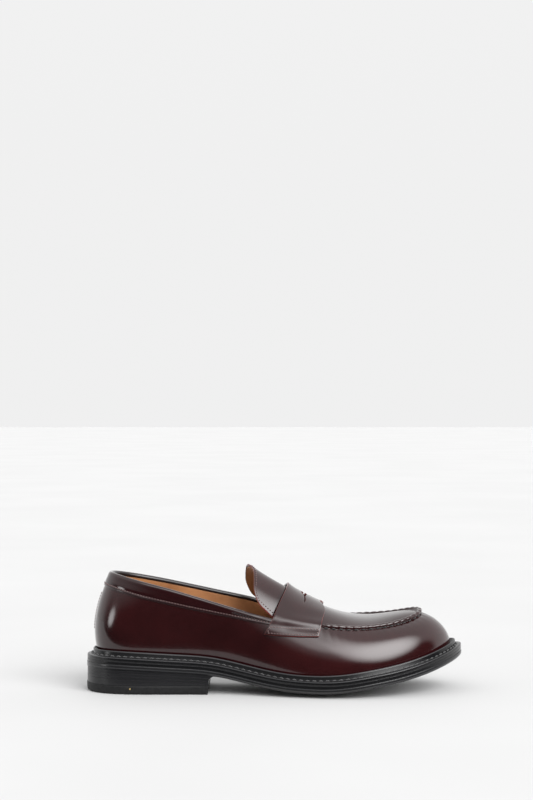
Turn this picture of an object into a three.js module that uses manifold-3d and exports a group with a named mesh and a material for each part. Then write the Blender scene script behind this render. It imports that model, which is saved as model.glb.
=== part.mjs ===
// A right-foot penny loafer, taken apart into the pieces it is made of.
// Millimetres, +Z up, +X towards the toe, +Y towards the inner (medial) side of the foot.
// The ground is z = 0, and the origin is under the middle of the outsole.
import * as THREE from "three";
import { mergeVertices } from "three/addons/utils/BufferGeometryUtils.js";
import Module from "manifold-3d";

const wasm = await Module();
wasm.setup();

// ---------------------------------------------------------------- driving dimensions
const LENGTH = 300; // outsole, from the back of the heel to the tip of the toe
const WIDTH = 108; // outsole, across the ball of the foot
const BACK_HEIGHT = 65.1; // top of the heel collar above the welt
const HEEL_PITCH = 17.6; // how much higher the welt lies at the heel than at the ball
const TOE_SPRING = 23.2; // how much higher the welt lies at the toe than at the ball
const CAMBER = 3.2; // how far the ball of the sole bellies down between its two edges

const OUTSOLE = 4; // layer thicknesses, from the ground up
const MIDSOLE = 1.8;
const WELT = 3;
const LAYER_GAP = 0.3; // cement line between any two neighbouring pieces
const CORK = 2.4;
const INSOLE = 3;
const SOCK = 1;

const WELT_SETBACK = 1.1; // edges set back from the outsole's outline
const MIDSOLE_SETBACK = 1.7;
const WELT_WIDTH = 11.6;
const STITCH_CHANNEL = 3.6; // centre of the welt's stitching, in from the welt's edge
const STORM_LIP = 4.8; // height of the raised lip along the inside of the welt
const LIP_THICKNESS = 1.9;
const WELT_SLOPE = 1.4; // rise of the welt's top from its edge to the lip
const LIP_FOOT = 6.4; // inner foot of the lip, in from the welt's edge
const UPPER_SETBACK = 8.8; // foot of the upper, in from the outsole's outline

const LEATHER = 1.6; // upper leather
const COLLAR_LEATHER = 1.2;
const LINING = 1;
const STIFFENER = 1.2; // heel counter and toe puff
const SEAM_RIDGE = 3; // height of the gathered ridge round the apron
// Collar band, measured down from the top line, every 25 mm from the heel.
const COLLAR_DEPTHS = [10, 12.2, 12.6, 11.4, 9.2, 6.8, 5];
const COLLAR_TURN = 3; // its edge, turned over to the inside

const HEEL_LENGTH = 96.5; // back of the heel to its front face
const TOP_PIECE = 7; // rubber tread of the heel
const LIFT = 2.1; // one leather lift; as many as fit follow the heel seat above a wedge
const WEDGE_TIP = 0.3; // least thickness of the wedge, at the front of the heel
const NAIL_RADIUS = 1.1;
const NAIL_CLEARANCE = 0.3;
const BREAST_STEP = 1.1; // how far each lift overhangs the one below it at the front

const STRAP_LEATHER = 1.6;
const STRAP_BACK = { side: 141.5, top: 160 }; // rear edge: at the stitched ends, on the ridge
const STRAP_FRONT = { side: 183, flank: 189, top: 185 };
const STRAP_DROP = { back: 13.5, front: 8.5 }; // stitched ends, down from the apron seam
const SLOT_LENGTH = 38; // across the foot
const SLOT_WIDTH = 5;

const TONGUE_LEATHER = 1.4;
const TONGUE_RISE = 32; // depth of the tongue's arch
const TONGUE_TUCK = 6; // how far the tongue's root reaches under the strap
const THREAD = 0.9;

const SHANK = { length: 104, width: 13, thickness: 1.2, start: 62 };

// ---------------------------------------------------------------- the last
// The last is drawn at its reference size and stretched to the driving dimensions.
const REFERENCE = { length: 300, width: 108, back: 65.1 };
const alongScale = LENGTH / REFERENCE.length;
const acrossScale = WIDTH / REFERENCE.width;
const upScale = BACK_HEIGHT / REFERENCE.back;

// Stations run round the shoe from the back of the heel (0), along the outer side, to the
// toe (11) and back along the inner side. Each is [from the heel, across].
const SOLE_OUTLINE = [
  [0, 0], [8.5, -21.5], [32, -32.5], [66, -33.5], [100, -34.5], [135, -42],
  [168, -51], [201, -55.5], [234, -51.5], [264, -39.5], [287.5, -20],
  [300, 6.5], [292.5, 28.5], [271, 43.5], [241, 51.5], [208, 52.5], [174, 43],
  [140, 31], [105, 28.5], [66, 31.5], [32, 31.5], [8.5, 20.5],
];
const TOE_STATION = 11;
// The upper edge of the wall: the top line behind the strap, the apron seam in front of it.
// [from the heel, across, above the welt].
const TOP_EDGE = [
  [18.8, 0, 65.1], [23, -13, 64.6], [42, -25.5, 60.7], [70, -29, 55], [100, -30.5, 48.4],
  [131, -33.5, 45.2], [160, -36, 43], [190, -36, 39.8], [218, -31.5, 35], [242, -23.3, 32.8],
  [259.5, -11.5, 33], [267, 3, 34.5], [261, 17, 35.6], [244.5, 27, 35.6], [221, 33, 37.4],
  [193, 35, 41], [163, 34, 46.5], [134, 32, 51], [103, 30.5, 52], [70, 29, 56.7],
  [42, 25, 60.9], [23, 13, 64.2],
];
// How the wall swells between its foot and its top edge, at every second station:
// lean and reach of its lower part, then of its upper part (degrees, mm).
const FOOT_LEAN = [17, 17, 17, 16, 13, 4, 2, 10, 16, 17, 17];
const FOOT_REACH = [22, 22, 17, 15, 13, 12, 12, 14, 17, 18, 22];
const TOP_LEAN = [25, 12, 4, 24, 52, 74, 74, 50, 22, 3, 12];
const TOP_REACH = [26, 24, 20, 15, 15, 14, 14, 15, 16, 20, 24];
const SHAPE_STEP = 2;
// Height of the middle of the instep above the welt, from CROWN_START every CROWN_STEP.
const CROWN = [79.4, 72.9, 66.9, 60.6, 54.2, 48.2, 43, 39.9, 39, 37.6, 33.8];
const CROWN_START = 130;
const CROWN_STEP = 14;
const CROWN_ROUNDNESS = [1.9, 2.5]; // how flat its middle is, under the strap and on the apron
// Shares of the heel pitch and of the toe spring, every SPRING_STEP from the heel.
const PITCH_SHARE = [0.91, 0.905, 0.845, 0.765, 0.66, 0.41, 0.15, 0.02, 0, 0, 0, 0, 0];
const SPRING_SHARE = [0, 0, 0, 0, 0, 0, 0, 0, 0.035, 0.19, 0.39, 0.66, 1];
const SPRING_STEP = 25;
const BALL = { centre: 190, spread: 55, reach: 52 };

// A smooth curve (curvature without jumps) through evenly spaced values.
function through(values, closed = false) {
  const n = values.length;
  const at = (list, i) => {
    if (closed) return list[((i % n) + n) % n];
    if (i < 0) return 2 * list[0] - list[-i];
    if (i >= n) return 2 * list[n - 1] - list[2 * n - 2 - i];
    return list[i];
  };
  let poles = values.slice();
  for (let pass = 0; pass < 60; pass++)
    poles = poles.map((p, i) => p + values[i] - (at(poles, i - 1) + 4 * p + at(poles, i + 1)) / 6);
  return (t) => {
    const i = Math.floor(t);
    const f = t - i;
    const g = 1 - f;
    return (
      (g ** 3 * at(poles, i - 1) +
        (3 * f ** 3 - 6 * f ** 2 + 4) * at(poles, i) +
        (3 * g ** 3 - 6 * g ** 2 + 4) * at(poles, i + 1) +
        f ** 3 * at(poles, i + 2)) / 6
    );
  };
}

const column = (rows, i) => through(rows.map((row) => row[i]), true);
const outlineX = column(SOLE_OUTLINE, 0);
const outlineY = column(SOLE_OUTLINE, 1);
const topX = column(TOP_EDGE, 0);
const topY = column(TOP_EDGE, 1);
const topH = column(TOP_EDGE, 2);
const footLean = through(FOOT_LEAN, true);
const footReach = through(FOOT_REACH, true);
const topLean = through(TOP_LEAN, true);
const topReach = through(TOP_REACH, true);
const crownShape = through(CROWN);
const pitchShare = through(PITCH_SHARE);
const springShare = through(SPRING_SHARE);

const STATIONS = SOLE_OUTLINE.length;
const vec = (x, y, z) => new THREE.Vector3(x, y, z);
const UP = vec(0, 0, 1);
const lerp = THREE.MathUtils.lerp;
const smoothstep = THREE.MathUtils.smoothstep;
const radians = THREE.MathUtils.degToRad;

// Top of the welt over the whole plan; every layer of the bottom is parallel to it.
const STACK = OUTSOLE + MIDSOLE + WELT + 2 * LAYER_GAP;
function weltTop(x, y = Infinity) {
  const t = x / alongScale / SPRING_STEP;
  const belly = Math.max(0, 1 - (y / (BALL.reach * acrossScale)) ** 2);
  const ball = Math.exp(-(((x / alongScale - BALL.centre) / BALL.spread) ** 2));
  const rise = HEEL_PITCH * pitchShare(t) + TOE_SPRING * springShare(t);
  return STACK + CAMBER + rise - CAMBER * belly * ball;
}

// The sole's outline, drawn in by `inset`.
function outline(k, inset = 0) {
  const point = (i) => vec(outlineX(i) * alongScale, outlineY(i) * acrossScale, 0);
  const tangent = point(k + 0.01).sub(point(k - 0.01)).normalize();
  return point(k).addScaledVector(vec(-tangent.y, tangent.x, 0), inset);
}

function outward(k) {
  const tangent = outline(k + 0.01).sub(outline(k - 0.01)).normalize();
  return vec(tangent.y, -tangent.x, 0);
}

function wallFoot(k) {
  const p = outline(k, UPPER_SETBACK);
  return p.setZ(weltTop(p.x, p.y) + LAYER_GAP);
}

function topEdge(k) {
  const x = topX(k) * alongScale;
  return vec(x, topY(k) * acrossScale, weltTop(x) + topH(k) * upScale);
}

// The outer face of the wall: v = 0 at its foot, v = 1 at its top edge.
function wallFace(k, v) {
  const out = outward(k);
  const shape = k / SHAPE_STEP;
  const low = radians(footLean(shape));
  const high = radians(topLean(shape));
  const p0 = wallFoot(k);
  const p3 = topEdge(k);
  const p1 = p0.clone()
    .addScaledVector(out, Math.sin(low) * footReach(shape))
    .addScaledVector(UP, Math.cos(low) * footReach(shape) * upScale);
  const p2 = p3.clone()
    .addScaledVector(out, Math.sin(high) * topReach(shape))
    .addScaledVector(UP, -Math.cos(high) * topReach(shape) * upScale);
  const w = 1 - v;
  return p0.multiplyScalar(w ** 3)
    .addScaledVector(p1, 3 * w * w * v)
    .addScaledVector(p2, 3 * w * v * v)
    .addScaledVector(p3, v ** 3);
}

function wallNormal(k, v) {
  const alongWall = wallFace(k + 0.02, v).sub(wallFace(k - 0.02, v));
  const upWall = wallFace(k, v + 0.01).sub(wallFace(k, v - 0.01));
  return alongWall.cross(upWall).normalize();
}

// A point `out` outside the wall's face (negative is inside).
const offWall = (k, v, out) => wallFace(k, v).addScaledVector(wallNormal(k, v), out);

// The height share v that lies `depth` below the top edge, measured on the face.
function shareAtDepth(k, depth) {
  const step = 0.02;
  let v = 1;
  let left = depth;
  let from = wallFace(k, v);
  while (Math.abs(left) > 1e-6) {
    const to = wallFace(k, v - step * Math.sign(left));
    const run = to.distanceTo(from);
    const part = Math.min(1, Math.abs(left) / run);
    v -= step * Math.sign(left) * part;
    left -= Math.sign(left) * run * part;
    from = to;
  }
  return v;
}
const belowEdge = (k, depth, out) => offWall(k, shareAtDepth(k, depth), out);

// The station whose top edge lies `x` from the heel, on the outer or the inner side.
function stationAt(x, outer) {
  let low = outer ? 0 : STATIONS;
  let high = TOE_STATION;
  for (let i = 0; i < 40; i++) {
    const mid = (low + high) / 2;
    if (topX(mid) * alongScale < x) low = mid;
    else high = mid;
  }
  return (low + high) / 2;
}

// The instep between the two top edges: w = -1 at the outer edge, 1 at the inner one.
function crownHeight(x) {
  return weltTop(x) + crownShape((x / alongScale - CROWN_START) / CROWN_STEP) * upScale;
}
function instepShare(x, w) {
  const power = lerp(...CROWN_ROUNDNESS, smoothstep(x / alongScale, 165, 215));
  return 1 - Math.abs(w) ** power;
}
function instepBetween(outer, inner, w, depth = 0) {
  const p = outer.clone().lerp(inner, (w + 1) / 2);
  const middle = outer.clone().lerp(inner, 0.5);
  const rise = Math.max(0, crownHeight(p.x) - middle.z);
  const closing = 1 - Math.exp(-((outer.distanceTo(inner) / 8) ** 2)); // no rise where the sides meet
  p.z += (rise - depth) * closing * instepShare(p.x, w);
  return p;
}
const instep = (x, w) => instepBetween(topEdge(stationAt(x, true)), topEdge(stationAt(x, false)), w);

// ---------------------------------------------------------------- mesh building
// Turns a list of triangles into closed, indexed geometry.
function solidFrom(triangles) {
  const positions = [];
  const same = (a, b) => a.distanceToSquared(b) < 1e-8;
  for (const [a, b, c] of triangles) {
    if (same(a, b) || same(b, c) || same(c, a)) continue;
    positions.push(a.x, a.y, a.z, b.x, b.y, b.z, c.x, c.y, c.z);
  }
  const geometry = new THREE.BufferGeometry();
  geometry.setAttribute("position", new THREE.Float32BufferAttribute(positions, 3));
  return mergeVertices(geometry, 1e-4);
}

const quad = (a, b, c, d) => [[a, b, c], [a, c, d]];

// A sheet with thickness: two grids of points, face and back, joined round their borders.
// `ends` says which of the first and last rows get a rim.
function sheet(face, back, ends = { first: true, last: true }) {
  const rows = face.length - 1;
  const columns = face[0].length - 1;
  const triangles = [];
  for (let i = 0; i < rows; i++)
    for (let j = 0; j < columns; j++) {
      triangles.push(...quad(face[i][j], face[i + 1][j], face[i + 1][j + 1], face[i][j + 1]));
      triangles.push(...quad(back[i][j], back[i][j + 1], back[i + 1][j + 1], back[i + 1][j]));
    }
  for (let i = 0; i < rows; i++) {
    triangles.push(...quad(face[i][0], back[i][0], back[i + 1][0], face[i + 1][0]));
    triangles.push(...quad(face[i][columns], face[i + 1][columns], back[i + 1][columns], back[i][columns]));
  }
  for (let j = 0; j < columns; j++) {
    if (ends.first) triangles.push(...quad(face[0][j], face[0][j + 1], back[0][j + 1], back[0][j]));
    if (ends.last)
      triangles.push(...quad(face[rows][j], back[rows][j], back[rows][j + 1], face[rows][j + 1]));
  }
  return solidFrom(triangles);
}

// A bar whose section is a polygon, one list of points for each place along it.
function bar(sections, closed = false) {
  const n = sections.length;
  const sides = sections[0].length;
  const triangles = [];
  for (let i = 0; i < (closed ? n : n - 1); i++)
    for (let j = 0; j < sides; j++) {
      const a = sections[i];
      const b = sections[(i + 1) % n];
      const next = (j + 1) % sides;
      triangles.push(...quad(a[j], b[j], b[next], a[next]));
    }
  if (!closed) {
    const cap = THREE.ShapeUtils.triangulateShape(flatten(sections[0]), []);
    for (const [a, b, c] of cap) {
      const [first, last] = [sections[0], sections[n - 1]];
      triangles.push([first[a], first[b], first[c]], [last[a], last[c], last[b]]);
    }
  }
  return solidFrom(triangles);
}

// A section's points in its own plane, for cutting its end cap into triangles.
function flatten(points) {
  const normal = points.reduce((sum, p, i) =>
    sum.add(p.clone().cross(points[(i + 1) % points.length])), vec(0, 0, 0)).normalize();
  const across = points[1].clone().sub(points[0]).normalize();
  const up = normal.clone().cross(across);
  return points.map((p) => new THREE.Vector2(p.dot(across), p.dot(up)));
}

const range = (n, from = 0, to = 1) =>
  Array.from({ length: n + 1 }, (_, i) => lerp(from, to, i / n));

function toManifold(geometry) {
  return new wasm.Manifold(new wasm.Mesh({
    numProp: 3,
    vertProperties: geometry.attributes.position.array,
    triVerts: new Uint32Array(geometry.index.array),
  }));
}

// A three.js solid with its shared points joined and its empty triangles left out.
function bare(geometry) {
  const { position } = (geometry.index ? geometry.toNonIndexed() : geometry).attributes;
  const triangles = [];
  for (let i = 0; i < position.count; i += 3)
    triangles.push([0, 1, 2].map((j) => vec(0, 0, 0).fromBufferAttribute(position, i + j)));
  return solidFrom(triangles);
}

function cut(geometry, ...tools) {
  const left = tools.reduce((body, tool) => body.subtract(toManifold(bare(tool))), toManifold(geometry));
  const mesh = left.getMesh();
  const result = new THREE.BufferGeometry();
  const positions = new Float32Array(mesh.numVert * 3);
  for (let i = 0; i < mesh.numVert; i++)
    for (let axis = 0; axis < 3; axis++)
      positions[3 * i + axis] = mesh.vertProperties[i * mesh.numProp + axis];
  result.setAttribute("position", new THREE.BufferAttribute(positions, 3));
  result.setIndex(Array.from(mesh.triVerts));
  return result;
}

// ---------------------------------------------------------------- materials
const material = (color, roughness, metalness = 0) =>
  new THREE.MeshStandardMaterial({ color, roughness, metalness });
const MATERIALS = {
  burgundy: material(0x3a1216, 0.22),
  lining: material(0xa9713f, 0.7),
  sole: material(0x1b1b1d, 0.5),
  rubber: material(0x202022, 0.65),
  stack: material(0x1e1e21, 0.42),
  cork: material(0x8a6a44, 0.95),
  insole: material(0xb98d5e, 0.8),
  stiffener: material(0xc9b48f, 0.85),
  steel: material(0x9a9da0, 0.35, 1),
  brass: material(0xc9a24a, 0.3, 1),
  darkThread: material(0x241013, 0.8),
  blackThread: material(0x0c0c0d, 0.8),
};

const shoe = new THREE.Group();
const tongueGroup = new THREE.Group();
shoe.add(tongueGroup);

function add(name, geometry, kind, parent = shoe) {
  const mesh = new THREE.Mesh(geometry, MATERIALS[kind]);
  mesh.name = name;
  parent.add(mesh);
  return mesh;
}

// ---------------------------------------------------------------- bottom
// A slab of the bottom between two levels, from the heel to `end` along the shoe.
// Levels are heights as functions of the plan; rows run across from the outer edge.
const SOLE_ROWS = 34;
const SOLE_COLUMNS = 6;
function slab(inset, top, bottom, options = {}) {
  const { start = 0, end = LENGTH, rows = SOLE_ROWS, columns = SOLE_COLUMNS } = options;
  const edge = (share, outer) => {
    const k = outer ? share * TOE_STATION : STATIONS - share * (STATIONS - TOE_STATION);
    return outline(k, inset);
  };
  const shareAt = (x, outer) => {
    let low = 0;
    let high = 1;
    for (let i = 0; i < 40; i++) {
      const mid = (low + high) / 2;
      if (edge(mid, outer).x < x) low = mid;
      else high = mid;
    }
    return low;
  };
  const whole = { start: start <= 0, end: end >= LENGTH };
  const limits = [true, false].map((outer) => [
    whole.start ? 0 : shareAt(start, outer),
    whole.end ? 1 : shareAt(end, outer),
  ]);
  const level = (height) => range(rows).map((t) => {
    const eased = (1 - Math.cos(Math.PI * t)) / 2;
    const share = lerp(t, eased, 0.35);
    const [a, b] = limits.map(([from, to], side) => edge(lerp(from, to, share), side === 0));
    return range(columns).map((w) => {
      const p = a.clone().lerp(b, w);
      return p.setZ(height(p.x, p.y));
    });
  });
  return sheet(level(top), level(bottom), { first: !whole.start, last: !whole.end });
}
const below = (depth) => (x, y) => weltTop(x, y) - depth;
const above = (height) => (x, y) => weltTop(x, y) + height;

const midsoleTop = WELT + LAYER_GAP;
const outsoleTop = midsoleTop + MIDSOLE + LAYER_GAP;
const heelSeat = outsoleTop + OUTSOLE + LAYER_GAP;
const insideWelt = WELT_SETBACK + WELT_WIDTH + 3 * LAYER_GAP;
const insideLining = UPPER_SETBACK + LEATHER + STIFFENER + LINING + 3 * LAYER_GAP + 0.6;

add("outsole", slab(0, below(outsoleTop), below(outsoleTop + OUTSOLE)), "sole");
add("midsole", slab(MIDSOLE_SETBACK, below(midsoleTop), below(midsoleTop + MIDSOLE)), "sole");

// The storm welt: a strip round the whole shoe with a raised lip against the upper.
const RING_STEPS = 66;
function weltSection(k) {
  const profile = [
    [0, -WELT], [0, -0.6], [0.6, 0],
    [LIP_FOOT - LIP_THICKNESS, WELT_SLOPE], [LIP_FOOT - LIP_THICKNESS + 0.2, STORM_LIP],
    [LIP_FOOT - 1, STORM_LIP], [LIP_FOOT + 0.3, 0],
    [WELT_WIDTH, 0], [WELT_WIDTH, -WELT],
  ];
  return profile.map(([inset, height]) => {
    const p = outline(k, WELT_SETBACK + inset);
    return p.setZ(weltTop(p.x, p.y) + height);
  });
}
const ringStations = (steps) => range(steps, 0, STATIONS).slice(0, -1);
add("storm_welt", bar(ringStations(RING_STEPS).map(weltSection), true), "sole");

const corkTop = -LAYER_GAP;
const shankBed = SHANK.thickness + 2 * LAYER_GAP;
const corkSlab = slab(insideWelt, above(corkTop), above(corkTop - CORK), { rows: 28, columns: 4 });
function shankPiece(grow, thickness, lift) {
  const half = SHANK.width / 2 + grow;
  const at = (t, y, height) => {
    const x = lerp(SHANK.start - grow, SHANK.start + SHANK.length + grow, t);
    return vec(x, y, weltTop(x, 0) + height);
  };
  const level = (height) => range(8).map((t) => [-half, half].map((y) => at(t, y, height)));
  return sheet(level(lift), level(lift - thickness));
}
add("cork_filler", cut(corkSlab, shankPiece(LAYER_GAP, shankBed + 1, corkTop + 1)), "cork");
add("steel_shank", shankPiece(0, SHANK.thickness, corkTop - LAYER_GAP), "steel");
add("insole_board", slab(insideLining, above(INSOLE), above(0), { rows: 24, columns: 2 }), "insole");
const sockBase = INSOLE + LAYER_GAP;
const sockOptions = { rows: 24, columns: 2 };
add("sock_liner", slab(insideLining + 0.4, above(sockBase + SOCK), above(sockBase), sockOptions), "lining");

// The heel: lifts that follow the seat, a wedge that levels them, and the rubber top piece.
const nailPlan = [[14, 0], [30, -17], [30, 17], [62, -20], [62, 18]];
const nailAt = ([x, y]) => vec(x * alongScale, y * acrossScale, 0);
const NAIL_HEAD = 1.2;
const nailTip = TOP_PIECE + 3 * LAYER_GAP;
function nailHole([x, y], radius = NAIL_RADIUS + NAIL_CLEARANCE) {
  const hole = new THREE.CylinderGeometry(radius, radius, 60, 8);
  return hole.rotateX(Math.PI / 2).translate(nailAt([x, y]).x, nailAt([x, y]).y, nailTip - LAYER_GAP + 30);
}
const heelOptions = (end) => ({ end, rows: 12, columns: 2 });
const heelHoles = nailPlan.map((p) => nailHole(p));
const heelFront = HEEL_LENGTH * alongScale;
const roomForLifts = weltTop(heelFront) - heelSeat - TOP_PIECE - LAYER_GAP - WEDGE_TIP;
const parallelLifts = Math.floor(roomForLifts / (LIFT + LAYER_GAP));
for (let i = 0; i < parallelLifts; i++) {
  const top = heelSeat + i * (LIFT + LAYER_GAP);
  const end = heelFront + (parallelLifts - i) * BREAST_STEP;
  const lift = slab(0.6, below(top), below(top + LIFT), heelOptions(end));
  add(`heel_lift_${i + 1}`, cut(lift, ...heelHoles), "stack");
}
const wedgeTop = heelSeat + parallelLifts * (LIFT + LAYER_GAP);
const flat = (height) => () => height;
const wedge = slab(0.6, below(wedgeTop), flat(TOP_PIECE + LAYER_GAP), heelOptions(heelFront));
add("heel_wedge_lift", cut(wedge, ...heelHoles), "stack");

const sidePin = { x: 37, height: 4.6, radius: 0.7, depth: 6 };
function pinAt(radius, depth, proud) {
  const k = 2 + (sidePin.x - 32) / 34;
  const edge = outline(k);
  const turned = new THREE.CylinderGeometry(radius, radius, depth + proud, 8);
  return turned.translate(edge.x, edge.y + depth / 2 - proud / 2, sidePin.height);
}
const topPiece = slab(0, flat(TOP_PIECE), flat(0), heelOptions(heelFront));
const pinHole = pinAt(sidePin.radius + LAYER_GAP, sidePin.depth + LAYER_GAP, 2);
add("heel_top_piece", cut(topPiece, pinHole), "rubber");
add("heel_side_pin", bare(pinAt(sidePin.radius, sidePin.depth, 0.3)), "brass");

nailPlan.forEach((plan, i) => {
  const { x, y } = nailAt(plan);
  const head = weltTop(x, y) - heelSeat - LAYER_GAP;
  const profile = [
    [0, nailTip], [NAIL_RADIUS * 0.5, nailTip + 0.6], [NAIL_RADIUS, nailTip + 2.4],
    [NAIL_RADIUS, head], [0, head],
  ].map(([r, z]) => new THREE.Vector2(r, z));
  const nail = new THREE.LatheGeometry(profile, 8).rotateX(Math.PI / 2).translate(x, y, 0);
  add(`heel_nail_${i + 1}`, bare(nail), "steel");
});

// ---------------------------------------------------------------- upper
const ROWS_PER_STATION = 3;
// Stations a given distance from the heel, at the reference size.
const back = {
  outer: (x) => stationAt(x * alongScale, true),
  inner: (x) => stationAt(x * alongScale, false),
};
const SEAM_START = 185; // where the gathered ridge begins, under the strap

// How tall the gathered ridge stands at a station.
function ridgeHeight(k) {
  const x = topEdge(k).x / alongScale;
  return SEAM_RIDGE * smoothstep(x, SEAM_START - 4, SEAM_START + 4);
}

// Plan direction square to the top edge, pointing outwards.
function edgeOutward(k) {
  const t = topEdge(k + 0.02).sub(topEdge(k - 0.02));
  return vec(t.y, -t.x, 0).normalize();
}

// A strip of sheet that follows the wall, between two stations and two height rules.
function wallSheet(from, to, columns, facePoint, backPoint) {
  const rows = Math.ceil((to - from) * ROWS_PER_STATION);
  const grid = (point) => range(rows, from, to).map((k) => range(columns).map((v) => point(k, v)));
  return sheet(grid(facePoint), grid(backPoint));
}

const SEAM_OPENING = 0.02; // half the slit between the two edges sewn at the back
const hiddenTop = COLLAR_LEATHER + LAYER_GAP;
function wallSection(k, out) {
  const x = topEdge(k).x / alongScale;
  const covered = hiddenTop * (1 - smoothstep(x, STRAP_BACK.side + 2, STRAP_BACK.top));
  const top = shareAtDepth(k, Math.max(covered, 0.01));
  const points = range(7).map((v) => offWall(k, v * top, out));
  const height = ridgeHeight(k);
  const lift = UP.clone().addScaledVector(edgeOutward(k), 0.12);
  const crest = points[points.length - 1].clone().addScaledVector(lift, Math.max(height, 0.05));
  points.push(points[points.length - 1].clone().lerp(crest, 0.6), crest);
  return points;
}
function wall() {
  const stations = range(STATIONS * ROWS_PER_STATION, SEAM_OPENING, STATIONS - SEAM_OPENING);
  return sheet(stations.map((k) => wallSection(k, 0)), stations.map((k) => wallSection(k, -LEATHER)));
}
add("vamp_and_quarters", wall(), "burgundy");

const collarShape = through(COLLAR_DEPTHS);
const collarDepth = (k) => collarShape(topX(k) / SPRING_STEP);

// The collar band hugs the top line and turns over it to the inside.
const collarEnd = STRAP_BACK.side - 0.4;
function collarSection(k) {
  const depthHere = collarDepth(k);
  const outer = LAYER_GAP + COLLAR_LEATHER;
  const inner = -LEATHER - LAYER_GAP - COLLAR_LEATHER;
  const profile = [
    [outer, depthHere], [outer, depthHere / 2], [outer, 1.4], [outer - 0.7, 0.2], [-LEATHER / 2, 0],
    [inner + 0.6, 0.3], [inner, 1.2], [inner, COLLAR_TURN],
    [inner + COLLAR_LEATHER, COLLAR_TURN], [inner + COLLAR_LEATHER, COLLAR_LEATHER],
    [LAYER_GAP, COLLAR_LEATHER], [LAYER_GAP, depthHere / 2], [LAYER_GAP, depthHere],
  ];
  return profile.map(([out, depth]) => belowEdge(k, depth, out));
}
const collarStations = range(32, back.inner(collarEnd) - STATIONS, back.outer(collarEnd));
add("collar_band", bar(collarStations.map(collarSection)), "burgundy");

// ---- linings and stiffeners
const counterTop = 30; // down from the top line
const bottomGap = INSOLE + SOCK + 3 * LAYER_GAP;
const packed = LEATHER + STIFFENER + 2 * LAYER_GAP;
function liningOut(k, v) {
  const top = smoothstep(v, 0.35, 0.72);
  return -lerp(packed, LEATHER + LAYER_GAP, top);
}
const liningTop = COLLAR_TURN + LAYER_GAP;
const footShare = 0.04;
function liningSheet(from, to, columns, top) {
  const place = (k, t, deeper) => {
    const v = lerp(footShare, shareAtDepth(k, top), t);
    return offWall(k, v, liningOut(k, v) - deeper);
  };
  return wallSheet(from, to, columns, (k, t) => place(k, t, 0), (k, t) => place(k, t, LINING));
}
const liningSplit = 150;
const seamEdge = 2.5;
const liningEnds = [back.inner(liningSplit) - STATIONS + 0.05, back.outer(liningSplit) - 0.05];
add("quarter_lining", liningSheet(...liningEnds, 6, liningTop), "lining");
add("vamp_lining",
  liningSheet(back.outer(liningSplit), back.inner(liningSplit), 5, seamEdge), "lining");

const FACET_ROOM = 0.05 * alongScale ** 3; // the wall's flat facets cut in behind its true curve
function stiffener(from, to, low, high) {
  const place = (k, t, deeper) => offWall(k, lerp(low, high, t), -LEATHER - LAYER_GAP - deeper);
  return wallSheet(from, to, 5, (k, t) => place(k, t, FACET_ROOM), (k, t) => place(k, t, STIFFENER));
}
const COUNTER = { reach: 4.1, low: 0.04, high: 0.34 };
const PUFF = { reach: 2.2, low: 0.04, high: 0.34 };
add("heel_counter", stiffener(-COUNTER.reach, COUNTER.reach, COUNTER.low, COUNTER.high), "stiffener");
add("toe_puff",
  stiffener(TOE_STATION - PUFF.reach, TOE_STATION + PUFF.reach, PUFF.low, PUFF.high), "stiffener");

// ---- apron
function seamPoint(k, inset, drop) {
  return topEdge(k).addScaledVector(edgeOutward(k), -inset).addScaledVector(UP, -drop);
}
// A cap over the instep between the two sides of the seam, from `start` to the toe.
function cap(start, inset, depth, rows, columns) {
  return range(rows).map((t) => {
    const share = 1 - (1 - t) ** 1.25;
    const outer = seamPoint(lerp(back.outer(start), TOE_STATION, share), inset, depth);
    const inner = seamPoint(lerp(back.inner(start), TOE_STATION, share), inset, depth);
    return range(columns, -1, 1).map((w) => instepBetween(outer, inner, w, depth));
  });
}
const apronStart = STRAP_FRONT.top - 13;
const apronInset = LEATHER + LAYER_GAP;
const apronDepth = -0.4;
const apronFace = cap(apronStart, apronInset, apronDepth, 20, 12);
const apronBack = cap(apronStart, apronInset, apronDepth + LEATHER, 20, 12);
add("apron", sheet(apronFace, apronBack, { first: true, last: false }), "burgundy");
const plugInset = apronInset + 1.2;
const plugDepth = apronDepth + LEATHER + 2 * LAYER_GAP;
const plugFace = cap(apronStart, plugInset, plugDepth, 16, 8);
const plugBack = cap(apronStart, plugInset, plugDepth + LINING, 16, 8);
add("apron_lining", sheet(plugFace, plugBack, { first: true, last: false }), "lining");

// ---- tongue
const TONGUE = { back: 131, lift: 0.9, half: 29.5, backReach: 0.84, frontReach: 0.92 };
// Its rear edge lies turned: forward on the outer half, back on the inner half.
const TONGUE_TURN = { outer: 2.8, outerSpan: 0.16, inner: 4.5, innerSpan: 0.28 };
const TONGUE_CORNER = { from: 0.76, depth: 0.2 }; // where its rear corners round off
const tongueFront = STRAP_BACK.top + TONGUE_TUCK;
function tonguePoint(share, w, depth) {
  const past = Math.max(0, Math.abs(w) - TONGUE_CORNER.from) / (1 - TONGUE_CORNER.from);
  const t = lerp(TONGUE_CORNER.depth * (1 - Math.sqrt(Math.max(0, 1 - past ** 2))), 1, share);
  const reach = lerp(TONGUE.backReach, TONGUE.frontReach, smoothstep(t, 0, 0.6));
  const at = w * reach;
  const turn = at < 0
    ? TONGUE_TURN.outer * Math.tanh(-at / TONGUE_TURN.outerSpan)
    : -TONGUE_TURN.inner * Math.tanh(at / TONGUE_TURN.innerSpan);
  const x = lerp(TONGUE.back + turn, tongueFront, t) * alongScale;
  const centre = instep(x, 0);
  const drop = TONGUE_RISE * Math.abs(at) ** 1.9;
  return vec(x, centre.y + at * TONGUE.half * acrossScale, centre.z + TONGUE.lift - drop - depth);
}
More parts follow.
